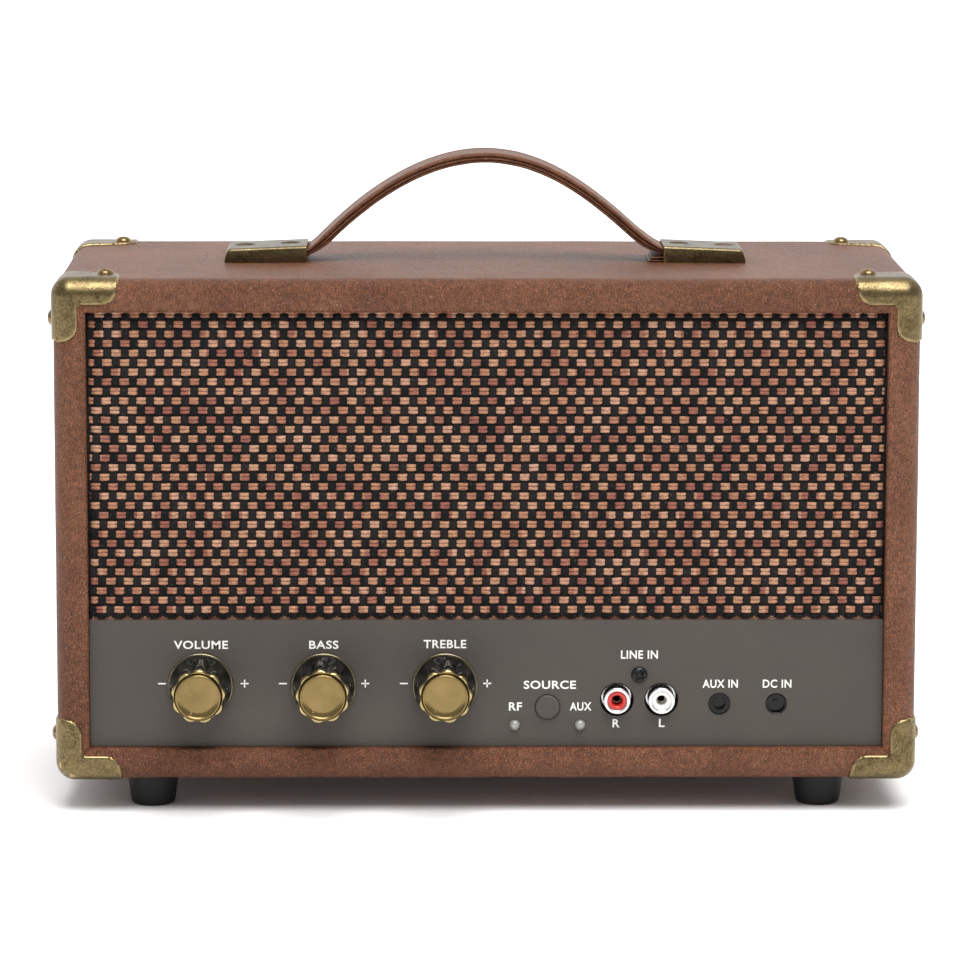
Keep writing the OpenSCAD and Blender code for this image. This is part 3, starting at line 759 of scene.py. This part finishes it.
SIDES = {"left": -1, "right": 1}
ENDS = {"front": 1, "back": -1}
LEVELS = {"top": 1, "bottom": -1}
for end, front in ENDS.items():
    for level, top in LEVELS.items():
        for flank, side in SIDES.items():
            make_bracket(f"bracket_{end}_{level}_{flank}", side, front, top)

# ---- Screws ----


def cross_recess(u, v, size):
    """0 outside a cross-shaped driver recess and 1 at its floor."""
    reach = max(abs(u), abs(v)) / size
    width = min(abs(u), abs(v)) / size
    return (1 - smoothstep(0.75, 1.0, reach)) * (1 - smoothstep(0.16, 0.34, width))


def add_screw(shape, place, axis, radius, height, shank, spin=0.3, flat=2.0, recess=0.55):
    """A screw with a cross recess, seated at a place; a higher value of flat makes a flatter top."""
    rings, sides = 16, 40
    rows = []
    for i in range(rings + 1):
        share = max(i / rings, 0.001)
        ring = []
        for k in range(sides):
            angle = 2 * math.pi * k / sides
            u, v = radius * share * math.cos(angle), radius * share * math.sin(angle)
            edge = math.sqrt(max(1 - share ** flat, 0))
            across = u * math.cos(spin) - v * math.sin(spin)
            along = u * math.sin(spin) + v * math.cos(spin)
            low = cross_recess(across, along, radius * recess)
            ring.append(place + turn(axis, u, v, height * (edge - 0.6 * low)))
        rows.append(ring)
    corners = [2 * math.pi * k / sides for k in range(sides)]
    core = 1.4 * MM
    for r, h in ((radius, -0.1 * MM), (core, -0.1 * MM), (core, 0.6 * MM - shank), (0.3 * MM, -shank)):
        rows.append([place + turn(axis, r * math.cos(a), r * math.sin(a), h) for a in corners])
    shape.tube(rows)


def make_bracket_screws():
    shape = Shape()
    turns = random.Random(4)
    for front in (1, -1):
        y = FRONT + SCREW_BACK if front > 0 else BACK - SCREW_BACK
        for top in (1, -1):
            for side in (1, -1):
                level = TOP if top > 0 else BASE
                up = Vector((side * (HALF_W - SCREW_ACROSS), y, level + top * BRACKET_T))
                out = Vector((side * (HALF_W + BRACKET_T), y, level - top * SCREW_DOWN))
                for place, axis in ((up, "+z" if top > 0 else "-z"), (out, "+x" if side > 0 else "-x")):
                    add_screw(shape, place, axis, 2.6 * MM, 1.7 * MM, 9 * MM, turns.uniform(0, 1.5),
                              recess=0.42)
    build("bracket_domed_screws", shape, SCREW_BRASS, cad=["bracket_screws"],
          sharp=60)


make_bracket_screws()


def make_wood_screws():
    """The eight screws round the rear panel and the one inside each foot."""
    shape = Shape()
    turns = random.Random(9)
    inner_x = OPEN_X + 0.8 * MM
    low = OPEN_LOW - 0.8 * MM
    high = OPEN_HIGH + 0.8 * MM
    for side in (1, -1):
        for z in (low + 12 * MM, MID_Z - 22 * MM, MID_Z + 22 * MM, high - 12 * MM):
            place = Vector((side * (inner_x - 7 * MM), REAR_Y, z))
            add_screw(shape, place, "+y", 3.1 * MM, 2.2 * MM, 14 * MM, turns.uniform(0, 1.5), flat=5.0)
    for node in FEET:
        place = centre(node)
        place.z = BASE / 2
        add_screw(shape, place, "-z", 3.1 * MM, 2.2 * MM, 14 * MM, turns.uniform(0, 1.5), flat=5.0)
    build("wood_pan_screws", shape, DARK_STEEL, cad=["wood_screws"], sharp=60)


FEET = ["foot_front_left", "foot_front_right", "foot_back_left", "foot_back_right"]
make_wood_screws()


def make_feet():
    profile = [(3.6, 5.25), (3.6, 0.4), (4.0, 0.0), (5.7, 0.0), (6.3, 0.12), (6.75, 0.5), (7.0, 1.1),
               (7.12, 1.9), (7.35, 3.4), (7.72, 6.2), (8.02, 8.4), (8.2, 10.0), (8.25, 10.4), (8.2, 10.5)]
    for node in FEET:
        place = centre(node)
        place.z = 0.0
        shape = Shape()
        shape.lathe(place, profile, 72, "+z")
        build(node.replace("foot", "rubber_foot"), shape, FOOT_RUBBER,
              cad=[node], sharp=60)


make_feet()

# ---- Handle ----

STRAP_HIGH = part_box("handle_strap")[1]
ARCH_X = 57.5 * MM
ARCH_H = STRAP_HIGH.z - TOP - 1.5 * MM
ARCH_SAG = 3.5 * MM
CAP_INNER = 57 * MM
CAP_OUTER = 83.3 * MM
CAP_END = 2.4 * MM
CAP_SCREWS = (62.5 * MM, 77 * MM)


def strap_middle(x):
    """Height of the strap's middle line above the case: an uneven arch that flattens into its caps."""
    u = min(max(x / ARCH_X, -1), 1)
    arch = (1 - u * u) * (ARCH_H - ARCH_SAG * u * u * (1 + u))
    rest = 1.7 * MM + smoothstep(20 * MM, 50 * MM, x) * 1.1 * MM
    return soft_max(arch, rest, 7 * MM)


def strap_place(x, offset, y):
    step = 0.2 * MM
    slope = (strap_middle(x + step) - strap_middle(x - step)) / (2 * step)
    length = math.hypot(1, slope)
    pinch = 1 - 0.35 * smoothstep(50 * MM, 57 * MM, abs(x))
    out = offset * pinch / length
    return Vector((x - out * slope, MID_Y + y, TOP + strap_middle(x) + out))


def add_band(shape, width, thick, offset, wave, bead, seed):
    """One leather layer of the strap, with rolled edges: a closed band swept along the arch."""
    shares = (-1, -0.99, -0.965, -0.93, -0.885, -0.84, -0.8, -0.7, -0.35, 0, 0.35, 0.7, 0.8, 0.84, 0.885,
              0.93, 0.965, 0.99, 1)
    rings = []
    count = 230
    for i in range(count + 1):
        x = -80 * MM + 160 * MM * i / count
        ripple = wobble((x, 0, 0), 190, seed) * wave + wobble((x, 0, 0), 75, seed + 5) * wave * 0.8
        narrow = wobble((x, 0, 0), 120, seed + 9) * 0.25 * MM
        ring = []
        for sign, row in ((1, shares), (-1, shares[-2:0:-1])):
            for share in row:
                edge = min((1 - abs(share)) * width / thick, 1)
                rise = thick / 2 * math.sqrt(max(1 - (1 - edge) ** 2, 0))
                if sign > 0:
                    rise += bead * math.exp(-((abs(share) - 0.92) / 0.04) ** 2)
                    rise -= bead * 0.7 * math.exp(-((abs(share) - 0.82) / 0.03) ** 2)
                side_ripple = ripple * (0.6 + 0.4 * share) if wave else 0.0
                height = offset + sign * rise + side_ripple
                ring.append(strap_place(x, height, share * (width / 2 + narrow)))
        rings.append(ring)
    shape.tube(rings)


def make_strap():
    shape = Shape()
    add_band(shape, 20 * MM, 1.25 * MM, 0.85 * MM, 0.0, 0.16 * MM, 1)
    build("strap_upper_layer", shape, STRAP_LEATHER, cad=["handle_strap"])
    shape = Shape()
    add_band(shape, 19.6 * MM, 0.85 * MM, -0.30 * MM, 0.06 * MM, 0.0, 2)
    add_band(shape, 19.2 * MM, 0.80 * MM, -1.22 * MM, 0.38 * MM, 0.0, 3)
    build("strap_lower_layers", shape, STRAP_LEATHER)
    shape = Shape()
    for level, start in ((0.45 * MM, 52.2 * MM), (1.45 * MM, 52.9 * MM)):
        rings = []
        for i in range(41):
            x = start + (79 * MM - start) * i / 40
            taper = min(math.sqrt(max(1 - (1 - min((x - start) / (0.5 * MM), 1)) ** 2, 0)) + 0.02, 1)
            ring = []
            for k in range(24):
                angle = 2 * math.pi * k / 24
                c, s_ = math.cos(angle), math.sin(angle)
                y = math.copysign(abs(c) ** 0.25, c) * 9.9 * MM
                z = level + math.copysign(abs(s_) ** 0.7, s_) * 0.42 * MM * taper
                z += wobble((x, level, 0), 160, 4) * 0.14 * MM * (level > 1 * MM)
                ring.append(Vector((x, MID_Y + y, TOP + z)))
            rings.append(ring)
        shape.tube(rings)
    build("strap_folded_ends", shape, STRAP_LEATHER)


make_strap()


def cap_height(x):
    """Height of a cap's outer face above the case, from its open inner end to its rounded outer end."""
    slope = 5.4 * MM - 1.0 * MM * min(max((x - CAP_INNER) / (24.3 * MM), 0), 1)
    end = min(max((x - (CAP_OUTER - CAP_END)) / CAP_END, 0), 1)
    return slope * math.sqrt(max(1 - end ** 2.6, 0))


def cap_ring(x, inset, side):
    """The cap's section at x as an upside-down U, drawn in by an inset."""
    height = max(cap_height(x) - inset, 0.0)
    end = min(max((x - (CAP_OUTER - 1.6 * MM)) / (1.6 * MM), 0), 1)
    half = 11.5 * MM - inset - 1.0 * MM * (1 - math.sqrt(max(1 - end * end, 0)))
    bend = 1.15 * MM - 0.4 * inset
    points = [(-half, 0.0), (-half, height * 0.35)]
    radius = min(bend, height * 0.6)
    points += [(-half + radius * (1 - math.cos(a)), height - radius * (1 - math.sin(a)))
               for a in (math.pi / 2 * i / 7 for i in range(8))]
    flat = 2 * (half - radius)
    points += [(-half + radius + flat * i / 38, height) for i in range(1, 38)]
    points += [(half - radius * (1 - math.cos(a)), height - radius * (1 - math.sin(a)))
               for a in (math.pi / 2 * (1 - i / 7) for i in range(8))]
    points += [(half, height * 0.35), (half, 0.0)]
    ring = []
    for y, z in points:
        dent = 0.0
        if inset == 0 and z > height - 0.1 * MM:
            for screw_x in CAP_SCREWS:
                away = math.hypot(x - screw_x, y)
                dent += 0.75 * MM * (1 - smoothstep(2.55 * MM, 3.15 * MM, away))
                dent -= 0.12 * MM * math.exp(-((away - 3.5 * MM) / (0.35 * MM)) ** 2)
        ring.append(Vector((side * x, MID_Y + y, TOP + z - dent)))
    return ring


def make_handle_caps():
    for name, side in (("left", -1), ("right", 1)):
        shape = Shape()
        xs = [CAP_INNER + 0.12 * MM] + [CAP_INNER + 0.5 * MM * i for i in range(1, 47)]
        xs += [CAP_OUTER - CAP_END + CAP_END * math.sin(math.pi / 2 * i / 8) for i in range(9)]
        rings = [cap_ring(x, 0.6 * MM, side) for x in (76 * MM, CAP_INNER + 0.1 * MM)]
        rings.append(cap_ring(CAP_INNER, 0.45 * MM, side))
        rings.append(cap_ring(CAP_INNER, 0.12 * MM, side))
        rings += [cap_ring(x, 0.0, side) for x in xs]
        shape.grid(rings)
        build(f"stamped_cap_{name}", shape, CAP_BRASS,
              cad=[f"handle_cap_{name}"])


def make_handle_screws():
    shape = Shape()
    turns = random.Random(12)
    for side in (-1, 1):
        for x in CAP_SCREWS:
            place = Vector((side * x, MID_Y, TOP + cap_height(x) - 0.75 * MM))
            add_screw(shape, place, "+z", 2.5 * MM, 0.62 * MM, 10.5 * MM, turns.uniform(0, 1.5), flat=3.0,
                      recess=0.66)
    build("cap_countersunk_screws", shape, SCREW_BRASS, cad=["handle_screws"],
          sharp=60)


make_handle_caps()
make_handle_screws()

# ---- Knobs ----

LOBES = 9
CROWN_WALL = 7.65 * MM
CROWN_LOBE = 0.85 * MM


def lobed(depth, phase):
    """Radius function for a lathe: rounded lobes with narrow valleys, as deep as depth(h) at a height."""
    def radius(angle, r, h):
        lobe = (math.cos(LOBES / 2 * (angle - phase)) ** 2 + 0.001) ** 0.62
        return max(r - depth(h) * (1 - min(lobe, 1)), min(r, CROWN_WALL))
    return radius


def make_knob(dial, knob, cap, shaft, phase, dot_angle):
    place = centre(shaft)
    place.y = PANEL_Y
    length = PANEL_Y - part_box(cap)[0].y

    def turned(part, profile, *looks, **settings):
        lathe_piece(f"{dial}_{part}", place, profile, *looks, body=dial, **settings)

    turned("foot_ring", [(6.6, 0.6), (10.15, 0.6), (10.35, 0.7), (10.4, 0.95), (10.35, 1.2), (10.2, 1.3),
                         (10.05, 1.2), (10.0, 0.9), (6.6, 0.85)],
           KNOB_RING, "bright_metal", sides=96, sharp=60)

    def scoop(h):
        return 1.5 * MM * smoothstep(1.9 * MM, 6.0 * MM, h)

    turned("fluted_skirt", [(6.5, 4.6), (6.5, 0.9), (9.2, 0.9), (9.72, 1.3), (9.82, 1.9), (9.8, 2.6),
                            (9.7, 3.4), (9.55, 4.6), (9.4, 6.2), (9.2, 8.6), (8.95, 11.4), (8.75, 13.6),
                            (8.5, 14.5), (8.2, 14.8), (6.0, 14.85)],
           KNOB_BLACK, "knob_black", [knob], sides=180, sharp=None, radius=lobed(scoop, phase))
    turned("lobed_crown", [(6.0, 14.8), (8.1, 14.8), (8.4, 15.0), (8.5, 15.4), (8.5, 17.3), (8.42, 17.65),
                           (8.2, 17.9), (7.95, 18.0), (7.6, 18.0), (7.45, 17.9), (7.45, 16.6)],
           KNOB_BRASS, "knob_brass", [cap], sides=180, sharp=50, radius=lobed(lambda h: CROWN_LOBE, phase))
    disc = Shape()
    face = place + turn("-y", 0, 0, length)
    disc.lathe(face, [(7.0, -4.0), (7.1, -3.4), (7.17, -0.7), (7.12, -0.35), (6.97, -0.1), (6.77, 0.0),
                      (6.57, -0.04), (6.44, -0.2), (6.32, -0.32), (4.5, -0.38), (2.5, -0.4), (0.4, -0.4)],
               sides=144)
    dot_r = 5.35 * MM
    dot = face + turn("-y", dot_r * math.sin(dot_angle), -dot_r * math.cos(dot_angle), -0.4 * MM)
    disc.lathe(dot, [(0.55, -0.1), (0.55, 0.1), (0.42, 0.28), (0.2, 0.36)], 20)
    build(f"{dial}_face_disc", disc, KNOB_FACE, body=dial, sharp=50)
    turned("groove_seal", [(6.2, 15.8), (7.7, 15.8), (7.7, 16.9), (7.0, 16.95)],
           KNOB_BLACK, "knob_black", sides=96, sharp=None)


make_knob("volume_dial", "volume_knob", "volume_cap", "volume_shaft", 0.12, -math.radians(24))
make_knob("bass_dial", "bass_knob", "bass_cap", "bass_shaft", 0.3, -math.radians(33))
make_knob("treble_dial", "treble_knob", "treble_cap", "treble_shaft", 0.05, -math.radians(35))

# ---- Controls and sockets ----


def on_panel(node):
    place = centre(node)
    place.y = PANEL_Y
    return place


lathe_piece("source_button_cap", on_panel("function_button"),
            [(0.3, -7.0), (1.7, -7.0), (1.7, -3.2), (4.85, -3.2), (4.85, -2.1), (3.85, -2.1),
             (3.85, 0.35), (3.75, 0.65), (3.45, 0.86), (2.9, 0.9), (1.5, 0.84), (0.3, 0.82)],
            BUTTON_PLASTIC, "button_plastic", ["function_button"], body="source_button")

for label, side in (("left", 0), ("right", 1)):
    place = Vector(((8.9, 29.5)[side] * MM, PANEL_Y, centre("status_lamps").z))
    lathe_piece(f"lamp_dome_{label}", place,
                [(0.2, -2.8), (2.15, -2.8), (2.15, -2.05), (1.74, -2.05), (1.74, -0.3), (1.72, 0.15),
                 (1.6, 0.62), (1.36, 1.05), (1.0, 1.34), (0.6, 1.5), (0.2, 1.55)],
                LAMP_CLEAR, "lamp_clear", ["status_lamps"], 40, sharp=None)
    lathe_piece(f"lamp_core_{label}", place,
                [(0.2, -2.6), (1.2, -2.6), (1.2, -1.3), (0.9, -1.0), (0.9, -0.3), (0.6, 0.0), (0.2, 0.1)],
                LAMP_CORE, "lamp_clear", sides=24)

PHONO_X = (41 * MM, 55 * MM)
PHONO_Z = centre("phono_insulator_red").z
PANEL_SCREW_UP = 33.3 * MM


def make_phono():
    for label, x, material, slot in (("red", PHONO_X[0], RED_PLASTIC, "phono_red"),
                                     ("white", PHONO_X[1], WHITE_PLASTIC, "phono_white")):
        place = Vector((x, PANEL_Y, PHONO_Z))
        lathe_piece(f"phono_ring_{label}", place,
                    [(3.05, -9.5), (3.05, 2.3), (3.12, 2.5), (3.3, 2.62), (3.85, 2.68), (4.05, 2.6),
                     (4.15, 2.4), (4.15, -5.0), (4.7, -5.0), (4.7, -9.8)],
                    PHONO_SILVER, "bright_metal", ["phono_sleeves"])
        lathe_piece(f"phono_core_{label}", place,
                    [(0.2, -8.8), (1.6, -8.8), (1.6, 1.5), (1.7, 1.85), (1.95, 2.15), (2.15, 2.25),
                     (2.85, 2.25), (3.0, 2.15), (3.05, 1.9), (3.05, -9.8), (0.2, -9.8)],
                    material, slot, [f"phono_insulator_{label}"])
        lathe_piece(f"phono_contact_{label}", place,
                    [(1.1, -8.6), (1.1, -2.4), (1.2, -2.25), (1.35, -2.2), (1.5, -2.3), (1.5, -8.6)],
                    BRIGHT_METAL, "bright_metal", sides=40)


make_phono()


def make_bezel(name, place, outer, inner, front, back, material, slot):
    """A rounded rim that lines a hole in the panel."""
    width = outer - inner
    profile = [(inner, -back), (inner, front - 0.12), (inner + width * 0.2, front),
               (outer - width * 0.25, front), (outer, front - 0.15), (outer, -back)]
    return lathe_piece(name, place, profile, material, slot)


for label, x in zip(("red", "white"), PHONO_X):
    place = Vector((x, PANEL_Y, PHONO_Z))
    make_bezel(f"phono_well_{label}", place, 5.33, 5.0, 0.05, 6.9, SOCKET_BLACK, "black_plastic")

shape = Shape()
place = Vector((sum(PHONO_X) / 2, PANEL_Y, BASE + PANEL_SCREW_UP))
add_screw(shape, place, "-y", 2.6 * MM, 1.5 * MM, 8 * MM, 0.6, flat=2.4, recess=0.72)
build("panel_cross_screw", shape, BLACK_STEEL, cad=["phono_screw"], sharp=60)

AUX = on_panel("aux_jack")
DC = on_panel("dc_jack")
lathe_piece("audio_socket_ring", AUX,
            [(1.8, -9.3), (1.8, -0.1), (1.9, 0.05), (2.2, 0.1), (2.35, 0.0), (2.4, -0.25), (2.9, -0.3),
             (2.95, -0.1), (3.05, 0.25), (3.25, 0.32), (3.45, 0.22), (3.5, -0.1), (3.5, -1.9)],
            BLACK_PLASTIC, "black_plastic")
lathe_piece("power_socket_ring", DC,
            [(2.85, -9.3), (2.85, -0.3), (2.95, -0.05), (3.15, 0.1), (3.35, 0.05), (3.45, -0.15),
             (3.45, -1.9)],
            GLOSS_BLACK, "black_plastic")

# ---- Lettering ----

LABELS = [
    ("VOLUME", -89.6, 53.5, 17.0), ("BASS", -51.1, 53.5, 9.2), ("TREBLE", -13.1, 53.7, 13.4),
    ("SOURCE", 19.9, 40.65, 16.4), ("RF", 9.1, 33.7, 4.1), ("AUX", 29.6, 33.7, 6.8),
    ("LINE IN", 48.0, 50.3, 11.6), ("R", 40.8, 28.3, 2.2), ("L", 55.2, 28.4, 1.8),
    ("AUX IN", 73.5, 40.95, 11.1), ("DC IN", 91.4, 40.95, 9.0),
]
SIGNS = [(-101.9, 41.1, False), (-64.0, 41.1, False), (-26.0, 41.1, False),
         (-76.0, 41.1, True), (-38.1, 41.1, True), (0.2, 41.1, True)]
LETTER_H = 2.65 * MM
LETTER_T = 0.06 * MM


def make_lettering():
    """Printed function words and signs, a hair's breadth proud of the panel."""
    shape = Shape()
    for words, x, z, width in LABELS:
        curve = bpy.data.curves.new("words", "FONT")
        curve.body = words
        curve.offset = 0.018
        curve.space_character = 1.08
        curve.resolution_u = 4
        curve.extrude = 0.5
        holder = bpy.data.objects.new("words", curve)
        mesh = bpy.data.meshes.new_from_object(holder)
        low = [min(v.co[i] for v in mesh.vertices) for i in range(3)]
        high = [max(v.co[i] for v in mesh.vertices) for i in range(3)]
        start = len(shape.verts)
        for vertex in mesh.vertices:
            share = [(vertex.co[i] - low[i]) / (high[i] - low[i]) for i in range(3)]
            across = x * MM + (share[0] - 0.5) * width * MM
            up = z * MM + (share[1] - 0.5) * LETTER_H
            shape.verts.append(Vector((across, PANEL_Y - share[2] * LETTER_T, up)))
        shape.faces.extend([start + i for i in polygon.vertices] for polygon in mesh.polygons)
        bpy.data.objects.remove(holder)
        bpy.data.curves.remove(curve)
        bpy.data.meshes.remove(mesh)
    for x, z, plus in SIGNS:
        bars = [(1.25, 0.21), (0.21, 1.25)] if plus else [(1.25, 0.21)]
        for half_x, half_z in bars:
            corners = [(x + a * half_x, z + b * half_z) for a, b in ((-1, -1), (1, -1), (1, 1), (-1, 1))]
            shape.tube([[Vector((a * MM, PANEL_Y - depth, b * MM)) for a, b in corners]
                        for depth in (0.0, LETTER_T)])
    build("panel_lettering", shape, LETTER_PAINT, smooth=False)


make_lettering()

# ---- Finishes of the parts kept from the frame ----

FINISHES = {
    "control_panel": PANEL_PAINT, "rear_panel": REAR_PAINT, "main_board": BOARD_GREEN,
    "battery_pack": CELL_WRAP, "speaker_baskets": DARK_STEEL, "speaker_magnets": DARK_STEEL,
    "speaker_screws": DARK_STEEL, "left_surround": FOOT_RUBBER, "right_surround": FOOT_RUBBER,
    "left_cone": CONE_PAPER, "right_cone": CONE_PAPER, "battery_clamp": BRIGHT_METAL,
    "potentiometers": BRIGHT_METAL, "pot_nuts": BRIGHT_METAL, "volume_shaft": BRIGHT_METAL,
    "bass_shaft": BRIGHT_METAL, "treble_shaft": BRIGHT_METAL, "tact_switch": BLACK_PLASTIC,
    "phono_block": BLACK_PLASTIC, "aux_jack": BLACK_PLASTIC, "dc_jack": BLACK_PLASTIC,
    "top_board": RAW_WOOD, "bottom_board": RAW_WOOD, "left_board": RAW_WOOD, "right_board": RAW_WOOD,
    "baffle_board": RAW_WOOD, "grille_board": RAW_WOOD, "rear_cleats": RAW_WOOD,
}
for node, material in FINISHES.items():
    for slot in NODES[node].material_slots:
        slot.material = material

# ---- Floor, light and view ----


def make_floor():
    mesh = bpy.data.meshes.new("floor")
    mesh.from_pydata([(-6, -6, 0), (6, -6, 0), (6, 6, 0), (-6, 6, 0)], [], [(0, 1, 2, 3)])
    floor = bpy.data.objects.new("floor", mesh)
    bpy.context.scene.collection.objects.link(floor)
    mesh.materials.append(plain_look("floor_white", (0.96, 0.96, 0.96), 0.9, grain=60, variation=0.005))
    return floor


def make_light():
    """A broad overhead softbox over white ground, with the room darker on the camera's side."""
    world = bpy.data.worlds.new("studio")
    world.use_nodes = True
    nodes, links = world.node_tree.nodes, world.node_tree.links
    split = nodes.new("ShaderNodeSeparateXYZ")
    ramp = nodes.new("ShaderNodeValToRGB")
    links.new(nodes.new("ShaderNodeTexCoord").outputs["Generated"], split.inputs[0])
    links.new(split.outputs["Y"], ramp.inputs["Fac"])
    first, last = ramp.color_ramp.elements
    first.position, first.color = 0.0, (0.42, 0.42, 0.42, 1)
    last.position, last.color = 0.25, (1, 1, 1, 1)
    links.new(ramp.outputs["Color"], nodes["Background"].inputs["Color"])
    nodes["Background"].inputs["Strength"].default_value = 1.1
    bpy.context.scene.world = world
    data = bpy.data.lights.new("softbox", "SUN")
    data.energy = 3.5
    data.angle = math.radians(44)
    softbox = bpy.data.objects.new("softbox", data)
    softbox.rotation_euler = (math.radians(22), math.radians(6), 0)
    bpy.context.scene.collection.objects.link(softbox)


make_floor()
make_light()
bpy.context.scene.view_settings.view_transform = "Standard"
